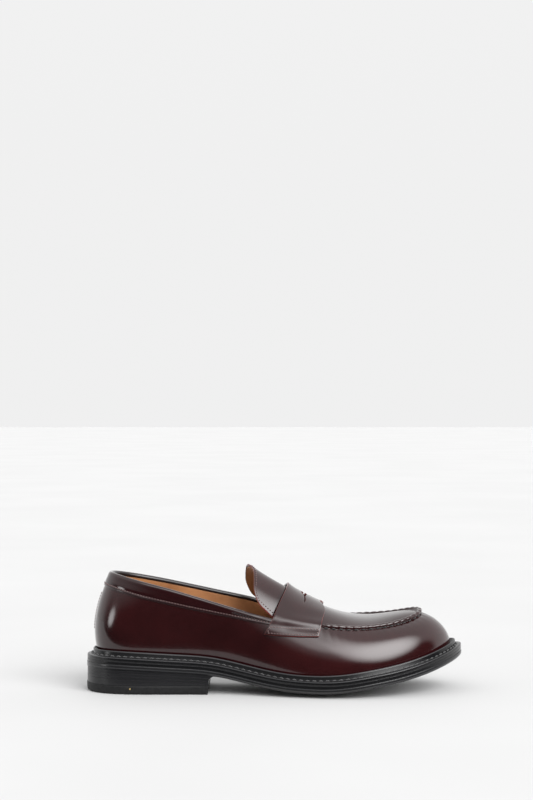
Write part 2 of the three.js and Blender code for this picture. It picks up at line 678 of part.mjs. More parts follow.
function tongueSheet(depth, thickness, rows, columns, shrink = 0) {
  const edge = 1 - shrink * 0.03;
  const across = range(columns, -1, 1).map((w) => Math.sin((w * Math.PI) / 2) * edge);
  const grid = (d) => range(rows, shrink * 0.03, 1).map((t) => across.map((w) => tonguePoint(t, w, d)));
  return sheet(grid(depth), grid(depth + thickness));
}
add("tongue", tongueSheet(0, TONGUE_LEATHER, 7, 16), "burgundy", tongueGroup);
add("tongue_lining", tongueSheet(TONGUE_LEATHER + LAYER_GAP, LINING, 7, 16, 1), "lining", tongueGroup);

// ---- strap
// Across the strap: q = -1 and 1 on the two seams, STRAP_END at its stitched ends.
const STRAP_END = 1.3;
function strapX(q, t) {
  const away = Math.abs(q);
  const rear = lerp(STRAP_BACK.top, STRAP_BACK.side, (away / STRAP_END) ** 1.9);
  const swell = (STRAP_FRONT.flank - STRAP_FRONT.top) * smoothstep(away, 0, 0.5);
  const tuck = (STRAP_FRONT.flank - STRAP_FRONT.side) * (Math.max(0, away - 0.5) / (STRAP_END - 0.5)) ** 1.5;
  return lerp(rear, STRAP_FRONT.top + swell - tuck, t) * alongScale;
}
function strapBed(q, t) {
  const x = strapX(q, t);
  const outer = q < 0;
  const k = stationAt(x, outer);
  if (Math.abs(q) <= 1) {
    const out = edgeOutward(k);
    const overRidge = ridgeHeight(k) * smoothstep(Math.abs(q), 0, 0.9);
    const lifted = STRAP_LIFT * (1 - t) ** 6 * (1 - Math.abs(q));
    return instep(x, q)
      .addScaledVector(UP, STRAP_STAND + overRidge + lifted)
      .addScaledVector(out, 0.8 * Math.abs(q) ** 4);
  }
  const depth = (Math.abs(q) - 1) * lerp(STRAP_DROP.back, STRAP_DROP.front, t) / (STRAP_END - 1);
  return belowEdge(k, depth, LAYER_GAP + 0.65 * ridgeHeight(k) * (1 - smoothstep(depth, 2, 6)));
}
const STRAP_STAND = 1.7; // clear of the instep below it
const STRAP_LIFT = 1.6; // how far its rear edge springs up on the ridge
const HALF_KEYS = [0.2, 0.44, 0.66, 0.86, 1, 1.1, 1.2, STRAP_END];
const STRAP_KEYS = [...HALF_KEYS.map((q) => -q).reverse(), 0, ...HALF_KEYS];
function strapGrid(rows, columns) {
  const rowPoints = range(rows).map((t) => {
    const keys = STRAP_KEYS.map((q) => strapBed(q, t));
    const path = new THREE.CatmullRomCurve3(keys, false, "centripetal");
    return range(columns).map((u) => path.getPoint(u));
  });
  return rowPoints;
}
function thicken(grid, thickness) {
  const rows = grid.length - 1;
  const columns = grid[0].length - 1;
  return grid.map((row, i) => row.map((p, j) => {
    const u = grid[Math.min(i + 1, rows)][j].clone().sub(grid[Math.max(i - 1, 0)][j]);
    const v = row[Math.min(j + 1, columns)].clone().sub(row[Math.max(j - 1, 0)]);
    return p.clone().addScaledVector(u.cross(v).normalize(), thickness);
  }));
}
const strapUnder = strapGrid(6, 36);
const strapUpper = thicken(strapUnder, STRAP_LEATHER);

// The penny slot: a diamond over the ridge that runs out into a slit on both sides.
function slotTool() {
  const middle = (strapX(0, 0) + strapX(0, 1)) / 2 / alongScale;
  const half = SLOT_LENGTH / 2;
  const outlinePoints = [
    [-half, 0.3], [-half * 0.45, 0.55], [0, SLOT_WIDTH / 2], [half * 0.45, 0.55], [half, 0.3],
    [half, -0.3], [half * 0.45, -0.55], [0, -SLOT_WIDTH / 2], [-half * 0.45, -0.55], [-half, -0.3],
  ];
  const shape = new THREE.Shape(outlinePoints.map(([across, along]) => new THREE.Vector2(along, across)));
  const block = new THREE.ExtrudeGeometry(shape, { depth: 40, bevelEnabled: false });
  const centre = instep(middle * alongScale, 0);
  return block.translate(centre.x, centre.y, centre.z - 14);
}
add("saddle_strap", cut(sheet(strapUpper, strapUnder), slotTool()), "burgundy");

// ---------------------------------------------------------------- threads
// A thread laid along places, each a point and the way up from the surface below it.
function thread(places, closed = false) {
  const n = places.length;
  const half = THREAD / 2;
  const sections = places.map(({ point, up }, i) => {
    const next = places[closed ? (i + 1) % n : Math.min(i + 1, n - 1)].point;
    const last = places[closed ? (i + n - 1) % n : Math.max(i - 1, 0)].point;
    const side = next.clone().sub(last).cross(up).normalize();
    return [[half, 0], [0, half], [-half, 0], [0, -half]].map(([s, u]) =>
      point.clone().addScaledVector(side, s).addScaledVector(up, u));
  });
  return bar(sections, closed);
}
const SEATED = LAYER_GAP + THREAD / 2; // centre of a thread above the surface it lies on
const onWall = (k, v, base = 0) => ({ point: offWall(k, v, base + SEATED), up: wallNormal(k, v) });
const onWallBelow = (k, depth, base = 0) => onWall(k, shareAtDepth(k, depth), base);

const weltStitches = ringStations(88).map((k) => {
  const rise = WELT_SLOPE * STITCH_CHANNEL / (LIP_FOOT - LIP_THICKNESS);
  const p = outline(k, WELT_SETBACK + STITCH_CHANNEL);
  return { point: p.setZ(weltTop(p.x, p.y) + rise + SEATED), up: UP };
});
add("welt_thread", thread(weltStitches, true), "blackThread");

const seamThreadStart = STRAP_FRONT.flank + 1.5;
const seamThread = range(72, back.outer(seamThreadStart), back.inner(seamThreadStart));
add("apron_seam_thread", thread(seamThread.map((k) => onWallBelow(k, 1.3))), "blackThread");

const collarThread = range(60, back.inner(collarEnd - 1) - STATIONS, back.outer(collarEnd - 1));
const onCollar = LAYER_GAP + COLLAR_LEATHER;
const collarPlaces = collarThread.map((k) => onWallBelow(k, collarDepth(k) - 1.8, onCollar));
add("collar_thread", thread(collarPlaces), "darkThread");

const backSeam = range(10, 0.12, 0.74);
add("back_seam_thread", thread(backSeam.map((v) => onWall(0, v))), "darkThread");

// A place on the strap's top face, by shares of its length along the foot and across it.
function onStrap(t, u) {
  const last = { row: strapUpper.length - 1, column: strapUpper[0].length - 1 };
  const i = Math.min(Math.floor(t * last.row), last.row - 1);
  const j = Math.min(Math.floor(u * last.column), last.column - 1);
  const [f, g] = [t * last.row - i, u * last.column - j];
  const mix = (grid) => grid[i][j].clone().lerp(grid[i + 1][j], f)
    .lerp(grid[i][j + 1].clone().lerp(grid[i + 1][j + 1], f), g);
  const up = mix(strapUpper).sub(mix(strapUnder)).normalize();
  return { point: mix(strapUpper).addScaledVector(up, SEATED), up };
}
function strapBox(mirrored) {
  const corners = [[0.05, 0.014], [0.95, 0.022], [0.95, 0.155], [0.05, 0.098], [0.05, 0.014]];
  const places = [];
  for (let i = 0; i < 4; i++)
    for (const f of range(i % 2 ? 4 : 10).slice(0, -1)) {
      const t = lerp(corners[i][0], corners[i + 1][0], f);
      const u = lerp(corners[i][1], corners[i + 1][1], f);
      places.push(onStrap(t, mirrored ? 1 - u : u));
    }
  return thread(places, true);
}
add("strap_thread_outer", strapBox(false), "darkThread");
add("strap_thread_inner", strapBox(true), "darkThread");

function tonguePlace(t, w) {
  const p = tonguePoint(t, w, 0);
  const u = tonguePoint(t + 0.01, w, 0).sub(tonguePoint(t - 0.01, w, 0));
  const v = tonguePoint(t, w + 0.01, 0).sub(tonguePoint(t, w - 0.01, 0));
  const up = u.cross(v).normalize();
  return { point: p.addScaledVector(up, SEATED), up };
}
const tongueThread = [
  ...range(6, 0.62, 0.09).map((t) => [t, -0.94]),
  ...range(12, -0.86, 0.86).map((w) => [0.055, w]),
  ...range(6, 0.09, 0.62).map((t) => [t, 0.94]),
];
add("tongue_thread", thread(tongueThread.map(([t, w]) => tonguePlace(t, w))), "darkThread", tongueGroup);

// The shoe's own frame: the ground under the middle of its plan.
const plan = new THREE.Box3().setFromObject(shoe);
const middle = plan.getCenter(new THREE.Vector3());
shoe.position.set(-middle.x, -middle.y, -plan.min.z);

export default shoe;
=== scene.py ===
"""A polished burgundy penny loafer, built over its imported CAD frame.

Shapes are worked out in millimetres in the shoe's own directions: x from the back of the
heel, y towards the inner side of the foot, z from the ground. `place` puts them in the frame.
"""

import math

import bmesh
import bpy
import numpy as np
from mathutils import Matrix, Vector


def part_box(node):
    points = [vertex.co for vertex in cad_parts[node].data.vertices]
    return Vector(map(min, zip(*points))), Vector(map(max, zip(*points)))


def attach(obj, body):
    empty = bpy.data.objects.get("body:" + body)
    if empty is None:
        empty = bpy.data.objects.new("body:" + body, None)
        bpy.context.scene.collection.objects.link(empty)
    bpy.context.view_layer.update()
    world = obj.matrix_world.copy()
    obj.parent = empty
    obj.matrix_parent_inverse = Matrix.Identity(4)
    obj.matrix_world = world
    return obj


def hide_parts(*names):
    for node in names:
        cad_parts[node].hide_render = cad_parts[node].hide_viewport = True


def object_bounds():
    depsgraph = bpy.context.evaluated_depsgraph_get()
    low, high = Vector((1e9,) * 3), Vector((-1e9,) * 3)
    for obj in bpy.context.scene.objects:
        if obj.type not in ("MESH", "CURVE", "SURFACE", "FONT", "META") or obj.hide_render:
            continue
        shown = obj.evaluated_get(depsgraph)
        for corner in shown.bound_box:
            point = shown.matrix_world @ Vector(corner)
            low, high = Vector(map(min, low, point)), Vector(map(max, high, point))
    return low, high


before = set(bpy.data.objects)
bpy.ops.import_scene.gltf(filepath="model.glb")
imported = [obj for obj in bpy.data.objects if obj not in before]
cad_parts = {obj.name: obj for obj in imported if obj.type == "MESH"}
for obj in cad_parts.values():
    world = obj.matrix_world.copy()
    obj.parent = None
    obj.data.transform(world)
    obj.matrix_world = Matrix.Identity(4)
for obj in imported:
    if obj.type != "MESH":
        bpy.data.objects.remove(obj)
cad_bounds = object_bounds()

MM = 0.001
SHANK_START = 62  # the steel shank starts this far from the back of the heel
shank_low, shank_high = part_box("steel_shank")
ORIGIN = np.array([
    shank_low.x - SHANK_START * MM,
    (shank_low.y + shank_high.y) / 2,
    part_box("heel_top_piece")[0].z,
])

# ---- sizes, in millimetres
GAP = 0.3
HEEL_PITCH = 17.6
TOE_SPRING = 23.2
CAMBER = 3.2  # how far the middle of the ball lies below its edges
OUTSOLE = 4
MIDSOLE = 1.8
WELT = 3
STACK = OUTSOLE + MIDSOLE + WELT + 2 * GAP
WELT_SETBACK = 0.35
MIDSOLE_SETBACK = 0.3
WELT_WIDTH = 11.6
WELT_SLOPE = 1.4
STITCH_CHANNEL = 3.6
STORM_LIP = 4.8
LIP_THICKNESS = 1.9
LIP_FOOT = 6.4
EDGE_BEVEL = 1.5
HOLD = 0.1  # keeps a flat side flat right up to its softened edge
SEAM_LINE = 0.03  # what shows of a joint between two layers dressed together
HEEL_LENGTH = 97.8
HEEL_INSET = 0.4  # the stacked heel's side, inside the outsole's
BREAST_CURVE = 5  # radius of the heel's front face where it runs out into the sole
TOP_PIECE = 7
LIFT = 2.1
LIFTS = 3

UPPER_SETBACK = 8.8
LEATHER = 1.6
STIFFENER = 1.2
LINING = 1
LINING_SPLIT = 150  # where the quarter lining meets the forefoot's
INSOLE = 3
INSIDE = UPPER_SETBACK + LEATHER + STIFFENER + LINING + 2 * GAP
COLLAR_LEATHER = 1.2
COLLAR_DEPTHS = [10, 12.2, 12.6, 11.4, 9.2, 6.8, 5]
COLLAR_TURN = 3
COLLAR_ROW = 1.9  # the stitching, above the band's lower edge
COLLAR_END = 152  # it runs in under the strap
COLLAR_STAND = 0.85
COLLAR_STAND_END = 0.3  # where the strap lies on it
COLLAR_THINS = 130, 142  # from the back of the heel, on its way to the strap
BACK_SEAM = 0.014  # half its opening, in stations
ROLL = 1.75  # radius of the gathered roll round the apron
PINCH = 0.55  # how deep each stitch pulls the wall in, and how far down it fades
PINCH_FADE = 3.0
SEAM_START = 185
APRON_TUCK = 1.2  # how far the apron is pressed down under the strap
APRON_START = 170  # under the strap, just in front of the tongue's root
APRON_RISE = 0.4  # the apron's edge stands this far over the seam line
APRON_TURN = 1.5  # how far that edge turns up against the roll, within APRON_TURN_WIDTH
APRON_TURN_WIDTH = 1.1
APRON_FADE = 8  # over this length the apron comes out from under the strap
# Stitches: pitch, radius of the thread, share of the pitch it shows, how far its ends dive.
STITCHES = {
    "fine": (2.3, 0.42, 0.62, 0.45), "welt": (5.2, 0.6, 0.7, 0.45), "seam": (5.9, 0.62, 0.6, 0.9),
}

STRAP_LEATHER = 1.6
STRAP_BACK = {"side": 141.5, "top": 160}
STRAP_FRONT = {"side": 183, "flank": 189, "top": 185}
STRAP_DROP = {"back": 13.5, "front": 8.5}  # how far it hangs down the wall
STRAP_END = 1.3  # its end, where 1 is the seam
STRAP_STAND = 1.7  # its height over the instep at the ridge
STRAP_LIFT = 1.6  # how far its rear edge springs up
STRAP_SETTLE = 0.9  # how far it comes down towards the seams
STRAP_OVER_ROLL = 2.6  # how far it climbs over the gathered roll, and goes round its side
STRAP_ROUND_ROLL = 1.95
STRAP_COLUMNS = 181
STRAP_ROWS = 26  # on each side of the slot
BOX_HEIGHT = 6.4  # of the sewn box at the strap's end
BACKING = (0.32, 0.72)  # shares of the strap's width backed under the slot
SLOT_LENGTH = 40
SLOT_WIDTH = 6.2  # at the ridge
SLOT_NOTCH = 0.42  # the share of the slot that opens into a diamond
SLIT = 0.6  # half its width beyond that
TONGUE = {"back": 131, "lift": 0.9, "half": 29.5, "back_reach": 0.84, "front_reach": 0.92}
TONGUE_TURN = {"outer": 2.8, "outer_span": 0.16, "inner": 4.5, "inner_span": 0.28}
TONGUE_CORNER = {"from": 0.76, "depth": 0.2}
TONGUE_FRONT = 166
TONGUE_RISE = 32
TONGUE_LEATHER = 1.4

# ---- the last
# Stations run round the shoe from the back of the heel (0), along the outer side, to the
# toe (11) and back along the inner side (22). The sole's outline is [from the heel, across].
SOLE_OUTLINE = np.array([
    [0, 0], [8.5, -21.5], [32, -32.5], [66, -33.5], [100, -34.5], [135, -42],
    [168, -51], [201, -55.5], [234, -51.5], [264, -39.5], [287.5, -20],
    [300, 6.5], [292.5, 28.5], [271, 43.5], [241, 51.5], [208, 52.5], [174, 43],
    [140, 31], [105, 28.5], [66, 31.5], [32, 31.5], [8.5, 20.5],
])
# The top line behind the strap and the apron seam in front of it: [.., .., above the welt].
TOP_EDGE = np.array([
    [18.8, 0, 65.1], [23, -13, 64.6], [42, -25.5, 60.7], [70, -29, 55], [100, -30.5, 48.4],
    [131, -33.5, 45.2], [160, -36, 43], [190, -36, 39.8], [218, -31.5, 35], [242, -23.3, 32.8],
    [259.5, -11.5, 33], [267, 3, 34.5], [261, 17, 35.6], [244.5, 27, 35.6], [221, 33, 37.4],
    [193, 35, 41], [163, 34, 46.5], [134, 32, 51], [103, 30.5, 52], [70, 29, 56.7],
    [42, 25, 60.9], [23, 13, 64.2],
])
STATIONS = 22
TOE = 11
# How the wall swells: lean (degrees) and reach of its foot and of its top, at even stations.
FOOT_LEAN = [17, 17, 17, 16, 13, 4, 2, 10, 16, 17, 17]
FOOT_REACH = [22, 22, 17, 15, 13, 12, 12, 14, 17, 18, 22]
TOP_LEAN = [25, 12, 4, 24, 52, 74, 74, 50, 22, 3, 12]
TOP_REACH = [26, 24, 20, 15, 15, 14, 14, 15, 16, 20, 24]
# Height of the middle of the instep above the welt, from 130 every 14.
CROWN = [79.4, 72.9, 66.9, 60.6, 54.2, 48.2, 43, 39.9, 39, 37.6, 33.8]
CROWN_START = 130
CROWN_STEP = 14
CROWN_ROUNDNESS = [1.9, 2.5]
# Shares of the heel pitch and of the toe spring, every 25 from the heel.
PITCH_SHARE = [0.91, 0.905, 0.845, 0.765, 0.66, 0.41, 0.15, 0.02, 0, 0, 0, 0, 0]
SPRING_SHARE = [0, 0, 0, 0, 0, 0, 0, 0, 0.035, 0.19, 0.39, 0.66, 1]
SHARE_STEP = 25
BALL = {"centre": 190, "spread": 55, "reach": 52}
UP = np.array([0.0, 0.0, 1.0])


def unit(v):
    return v / np.maximum(np.linalg.norm(v, axis=-1, keepdims=True), 1e-12)


def smoothstep(x, a, b):
    t = np.clip((np.asarray(x, float) - a) / (b - a), 0, 1)
    return t * t * (3 - 2 * t)


def lerp(a, b, t):
    return a + (b - a) * t


def run_along(path):
    """The length along a path up to each of its points."""
    return np.concatenate([[0], np.cumsum(np.linalg.norm(np.diff(path, axis=0), axis=1))])


def through(values, closed=False):
    """A smooth curve through evenly spaced values."""
    values = np.asarray(values, float)
    pad = 6

    def extended(p):
        if closed:
            return np.concatenate([p[-pad:], p, p[:pad]])
        return np.concatenate([2 * p[0] - p[pad:0:-1], p, 2 * p[-1] - p[-2:-2 - pad:-1]])

    poles = values.copy()
    for _ in range(60):
        around = extended(poles)
        mean = (around[pad - 1:-pad - 1] + 4 * poles + around[pad + 1:len(around) - pad + 1]) / 6
        poles = poles + values - mean
    around = extended(poles)

    def curve(t):
        t = np.asarray(t, float)
        i = np.floor(t).astype(int)
        f = t - i
        g = 1 - f
        i = i % len(values) if closed else np.clip(i, 1 - pad, len(values) + pad - 4)
        i = i + pad
        return (
            g ** 3 * around[i - 1] + (3 * f ** 3 - 6 * f ** 2 + 4) * around[i]
            + (3 * g ** 3 - 6 * g ** 2 + 4) * around[i + 1] + f ** 3 * around[i + 2]
        ) / 6

    return curve


outline_x, outline_y = (through(SOLE_OUTLINE[:, i], True) for i in range(2))
top_x, top_y, top_h = (through(TOP_EDGE[:, i], True) for i in range(3))
foot_lean, foot_reach = through(FOOT_LEAN, True), through(FOOT_REACH, True)
top_lean, top_reach = through(TOP_LEAN, True), through(TOP_REACH, True)
crown_shape = through(CROWN)
pitch_share, spring_share = through(PITCH_SHARE), through(SPRING_SHARE)
collar_shape = through(COLLAR_DEPTHS)


def points(x, y, z):
    return np.stack(np.broadcast_arrays(x, y, z), axis=-1).astype(float)


def welt_top(x, y=1e9):
    """Top of the welt over the plan; every layer of the bottom is parallel to it."""
    belly = np.maximum(0, 1 - (y / BALL["reach"]) ** 2)
    ball = np.exp(-(((x - BALL["centre"]) / BALL["spread"]) ** 2))
    rise = HEEL_PITCH * pitch_share(x / SHARE_STEP) + TOE_SPRING * spring_share(x / SHARE_STEP)
    return STACK + CAMBER + rise - CAMBER * belly * ball


def square_to(t):
    """Plan direction to the right of another."""
    return np.stack([t[..., 1], -t[..., 0], 0 * t[..., 0]], axis=-1)


def outward(k):
    """Plan direction square to the sole's outline."""
    ahead, behind = k + 0.01, k - 0.01
    along = points(outline_x(ahead) - outline_x(behind), outline_y(ahead) - outline_y(behind), 0)
    return square_to(unit(along))


def outline(k, inset=0.0):
    """The sole's outline in plan, drawn in by `inset`."""
    return points(outline_x(k), outline_y(k), 0) - outward(k) * np.asarray(inset)[..., None]


def top_edge(k):
    x = top_x(k)
    return points(x, top_y(k), welt_top(x) + top_h(k))


def edge_outward(k):
    """Plan direction square to the top edge."""
    return unit(square_to(top_edge(k + 0.02) - top_edge(k - 0.02)))


def wall_face(k, v):
    """The outer face of the wall: v = 0 at its foot, v = 1 at its top edge."""
    k, v = np.broadcast_arrays(np.asarray(k, float), np.asarray(v, float))
    out = outward(k)
    low = np.radians(foot_lean(k / 2))[..., None]
    high = np.radians(top_lean(k / 2))[..., None]
    near, far = foot_reach(k / 2)[..., None], top_reach(k / 2)[..., None]
    foot = outline(k, UPPER_SETBACK)
    foot[..., 2] = welt_top(foot[..., 0], foot[..., 1]) + GAP
    top = top_edge(k)
    lower = foot + out * np.sin(low) * near + UP * np.cos(low) * near
    upper = top + out * np.sin(high) * far - UP * np.cos(high) * far
    v = v[..., None]
    w = 1 - v
    return w ** 3 * foot + 3 * w * w * v * lower + 3 * w * v * v * upper + v ** 3 * top


def wall_normal(k, v):
    along = wall_face(k + 0.02, v) - wall_face(k - 0.02, v)
    rise = wall_face(k, v + 0.01) - wall_face(k, v - 0.01)
    return unit(np.cross(along, rise))


def off_wall(k, v, out):
    return wall_face(k, v) + wall_normal(k, v) * np.asarray(out, float)[..., None]


def share_at_depth(k, depth):
    """The height share that lies `depth` below the top edge on the face: k (n,), depth (n, m)."""
    shares = np.linspace(1.12, 0, 100)
    face = wall_face(k[:, None], shares[None, :])
    steps = np.linalg.norm(np.diff(face, axis=1), axis=-1)
    run = np.concatenate([np.zeros((len(k), 1)), np.cumsum(steps, axis=1)], axis=1)
    start = [np.interp(1, shares[::-1], r[::-1]) for r in run]
    return np.array([np.interp(d, r - s, shares) for d, r, s in zip(depth, run, start)])


def below_edge(k, depth, out):
    """Points on the wall, `depth` under its top edge and `out` off its face: grids (n, m)."""
    depth = np.broadcast_to(np.asarray(depth, float), (len(k), np.shape(depth)[-1]))
    return off_wall(k[:, None], share_at_depth(k, depth), np.broadcast_to(out, depth.shape))


K_FINE = np.linspace(0, STATIONS, 2201)
X_FINE = top_x(K_FINE)


def station_at(x, outer):
    """The station whose top edge lies `x` from the heel, on the outer or the inner side."""
    half = K_FINE <= TOE if outer else K_FINE >= TOE
    k, along = K_FINE[half], X_FINE[half]
    order = np.argsort(along)
    return np.interp(x, along[order], k[order])


def spaced_stations(start, end, pitch, curve=top_edge):
    """Stations from start to end, evenly spaced along a curve round the shoe."""
    k = np.linspace(start, end, 1500)
    run = run_along(curve(k))
    count = max(2, int(round(run[-1] / pitch)))
    return np.interp(np.linspace(0, run[-1], count + 1), run, k)


def instep_between(outer, inner, w, depth=0.0):
    """A point of the instep between two points of the seam, w = -1 on the outer one."""
    w = np.asarray(w, float)
    p = outer + (inner - outer) * ((w + 1) / 2)[..., None]
    x = p[..., 0]
    crown = welt_top(x) + crown_shape((x - CROWN_START) / CROWN_STEP)
    rise = np.maximum(0, crown - (outer[..., 2] + inner[..., 2]) / 2)
    closing = 1 - np.exp(-((np.linalg.norm(outer - inner, axis=-1) / 8) ** 2))
    power = lerp(*CROWN_ROUNDNESS, smoothstep(x, 165, 215))
    p[..., 2] += (rise - depth) * closing * (1 - np.abs(w) ** power)
    return p


def instep(x, w):
    return instep_between(top_edge(station_at(x, True)), top_edge(station_at(x, False)), w)


# ---- mesh building
def place(p):
    """From the shoe's millimetres to the frame's metres."""
    return np.asarray(p, float) * MM + ORIGIN


def add(name, data):
    """A new object in the scene."""
    obj = bpy.data.objects.new(name, data)
    bpy.context.scene.collection.objects.link(obj)
    return obj


def make(name, shape, look, cad_node=None, body="shoe"):
    """A smooth piece, from vertices, faces and perhaps each vertex's share of rim."""
    verts, faces, *rim = shape
    mesh = bpy.data.meshes.new(name)
    mesh.from_pydata(place(verts).tolist(), [], [list(f) for f in faces])
    if rim:
        shares = mesh.attributes.new("rim", "FLOAT", "POINT").data
        shares.foreach_set("value", np.asarray(rim[0], np.float32))
    work = bmesh.new()
    work.from_mesh(mesh)
    bmesh.ops.remove_doubles(work, verts=work.verts, dist=2e-6)
    bmesh.ops.recalc_face_normals(work, faces=work.faces)
    work.to_mesh(mesh)
    work.free()
    mesh.polygons.foreach_set("use_smooth", [True] * len(mesh.polygons))
    mesh.materials.append(look[0])
    obj = add(name, mesh)
    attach(obj, body)
    if cad_node:
        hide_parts(cad_node)


def grid_faces(rows, columns):
    i, j = np.meshgrid(np.arange(rows - 1), np.arange(columns - 1), indexing="ij")
    a = (i * columns + j).ravel()
    return np.stack([a, a + columns, a + columns + 1, a + 1], axis=1)


def border(rows, columns):
    """Indices i and j round the border of a grid."""
    ring = [(0, j) for j in range(columns - 1)]
    ring += [(i, columns - 1) for i in range(rows - 1)]
    ring += [(rows - 1, j) for j in range(columns - 1, 0, -1)]
    ring += [(i, 0) for i in range(rows - 1, 0, -1)]
    return np.array(ring).T


def strip_faces(first, second):
    """Quads between two rings of vertex indices."""
    after = np.roll(np.arange(len(first)), -1)
    return np.stack([first, second, second[after], first[after]], axis=1)


def join_rings(verts, faces, first, rings, last):
    """Adds rings of vertices, with quads from the vertices `first` across them to `last`."""
    start = sum(len(v) for v in verts)
    for ring in rings:
        now = start + np.arange(len(ring))
        start += len(ring)
        verts.append(ring)
        faces.append(strip_faces(first, now))
        first = now
    faces.append(strip_faces(first, last))


def closed_sheet(face, back, rings, shares):
    """A solid between two grids, joined along their border by rings, each with its rim share."""
    rows, columns = face.shape[:2]
    count = rows * columns
    i, j = border(rows, columns)
    edge = i * columns + j
    verts = [face.reshape(-1, 3), back.reshape(-1, 3)]
    quads = grid_faces(rows, columns)
    faces = [quads, quads[:, ::-1] + count]
    join_rings(verts, faces, edge, rings, edge + count)
    rim = [np.zeros(2 * count)] + [np.full(len(edge), share) for share in shares]
    return np.concatenate(verts), np.concatenate(faces), np.concatenate(rim)


RIM_ANGLES = np.radians([22, 50, 90, 130, 158])


def round_rim(middle, half, away):
    """Rings that bulge from one face of a sheet round to the other."""
    return [middle + half * math.cos(a) + away * math.sin(a) ** 0.7 for a in RIM_ANGLES]


def shell(face, back, bulge=0.5):
    """A sheet with a face, a back and a rounded rim."""
    rows, columns = face.shape[:2]
    i, j = border(rows, columns)
    inner = (np.clip(i, 1, rows - 2), np.clip(j, 1, columns - 2))
    middle = (face[i, j] + back[i, j]) / 2
    half = (face[i, j] - back[i, j]) / 2
    away = face[i, j] - face[inner] + back[i, j] - back[inner]
    through_it = unit(half)
    away = unit(away - through_it * np.sum(away * through_it, axis=1, keepdims=True))
    return closed_sheet(face, back, round_rim(middle, half, away * bulge), [1] * len(RIM_ANGLES))


def loft(sections, closed=False):
    """A solid through closed sections (n, m, 3), capped at its ends unless it is closed."""
    n, m = sections.shape[:2]
    index = np.arange(n * m).reshape(n, m)
    rings = n if closed else n - 1
    faces = [strip_faces(index[i], index[(i + 1) % n]) for i in range(rings)]
    quads = [list(f) for f in np.concatenate(faces)]
    if not closed:
        quads += [list(index[0]), list(index[-1][::-1])]
    return sections.reshape(-1, 3), quads


def read_at(path, run, at):
    """Points of a path at lengths along it."""
    return np.stack([np.interp(at, run, path[:, axis]) for axis in range(3)], axis=1)


def smooth_path(keys, count):
    """Natural cubic curve through keys (m, 3), given back as `count` evenly spaced points."""
    run = run_along(keys)
    h = np.diff(run)
    n = len(keys)
    lhs, rhs = np.eye(n), np.zeros((n, 3))
    slope = np.diff(keys, axis=0) / h[:, None]
    for i in range(1, n - 1):
        lhs[i, i - 1:i + 2] = h[i - 1], 2 * (h[i - 1] + h[i]), h[i]
        rhs[i] = 6 * (slope[i] - slope[i - 1])
    bend = np.linalg.solve(lhs, rhs)
    t = np.linspace(0, run[-1], 600)
    i = np.clip(np.searchsorted(run, t) - 1, 0, n - 2)
    a, b = (t - run[i])[:, None], (run[i + 1] - t)[:, None]
    step = h[i][:, None]
    curve = (bend[i] * b ** 3 + bend[i + 1] * a ** 3) / (6 * step)
    curve += (keys[i] / step - bend[i] * step / 6) * b
    curve += (keys[i + 1] / step - bend[i + 1] * step / 6) * a
    length = run_along(curve)
    return read_at(curve, length, np.linspace(0, length[-1], count))


def grid_normals(grid):
    return unit(np.cross(np.gradient(grid, axis=0), np.gradient(grid, axis=1)))


def stitches(path, normals, pitch, radius, share, sink):
    """A row of separate stitches along a path: short threads that dive in at both ends."""
    run = run_along(path)
    count = max(1, int(round(run[-1] / pitch)))
    step = run[-1] / count
    sides = np.radians(np.arange(0, 360, 45))[None, :, None]
    along = np.linspace(-1, 1, 7)
    swell = radius * np.sqrt(np.maximum(0, 1 - (along * 0.97) ** 4))[:, None, None]
    height = radius * (0.5 - (0.5 + sink) * along ** 2)[:, None, None]
    verts, faces = [], []
    for i in range(count):
        at = (i + 0.5) * step + along * step * share / 2
        p = read_at(path, run, at)
        up = unit(read_at(normals, run, at))
        side = unit(np.cross(np.gradient(p, axis=0), up))
        spokes = side[:, None] * np.cos(sides) + up[:, None] * np.sin(sides)
        v, f = loft(p[:, None] + up[:, None] * height + swell * spokes)
        faces += [[q + i * len(v) for q in face] for face in f]
        verts.append(v)
    return np.concatenate(verts), faces


def sew(name, rows, kind, cad_node, body="shoe", pitch=None):
    """One piece from rows of stitches (path, normals)."""
    own_pitch, *form = STITCHES[kind]
    verts, faces, count = [], [], 0
    for path, normals in rows:
        v, f = stitches(path, normals, pitch or own_pitch, *form)
        faces += [[q + count for q in face] for face in f]
        verts.append(v)
        count += len(v)
    make(name, (np.concatenate(verts), faces), THREADS[kind], cad_node, body)


# ---- materials
def node(tree, kind, inputs=None, **settings):
    made = tree.nodes.new(kind)
    for key, value in settings.items():
        setattr(made, key, value)
    for key, value in (inputs or {}).items():
        if isinstance(value, bpy.types.NodeSocket):
            tree.links.new(value, made.inputs[key])
        else:
            made.inputs[key].default_value = value
    return made


def blank(name, **constants):
    """A new material, its tree and its shader, with constants set on the shader's own sockets."""
    material = bpy.data.materials.new(name)
    material.use_nodes = True
    shader = material.node_tree.nodes["Principled BSDF"]
    for key, value in constants.items():
        shader.inputs[key.replace("_", " ")].default_value = value
    return material, material.node_tree, shader


def stretched(tree, scale=(1, 1, 1)):
    """Object coordinates, scaled on each axis."""
    where = node(tree, "ShaderNodeTexCoord")
    mapping = node(tree, "ShaderNodeMapping", {"Vector": where.outputs["Object"], "Scale": scale})
    return mapping.outputs["Vector"]


def noise(tree, vector, scale, detail=3.0, roughness=0.55):
    made = node(tree, "ShaderNodeTexNoise", {
        "Vector": vector, "Scale": scale, "Detail": detail, "Roughness": roughness})
    return made.outputs["Fac"]


def ramp(tree, factor, low, high, start=0.35, end=0.65):
    made = node(tree, "ShaderNodeValToRGB", {"Fac": factor})
    first, last = made.color_ramp.elements
    first.position, last.position = start, end
    first.color, last.color = (*low, 1), (*high, 1)
    return made.outputs["Color"]


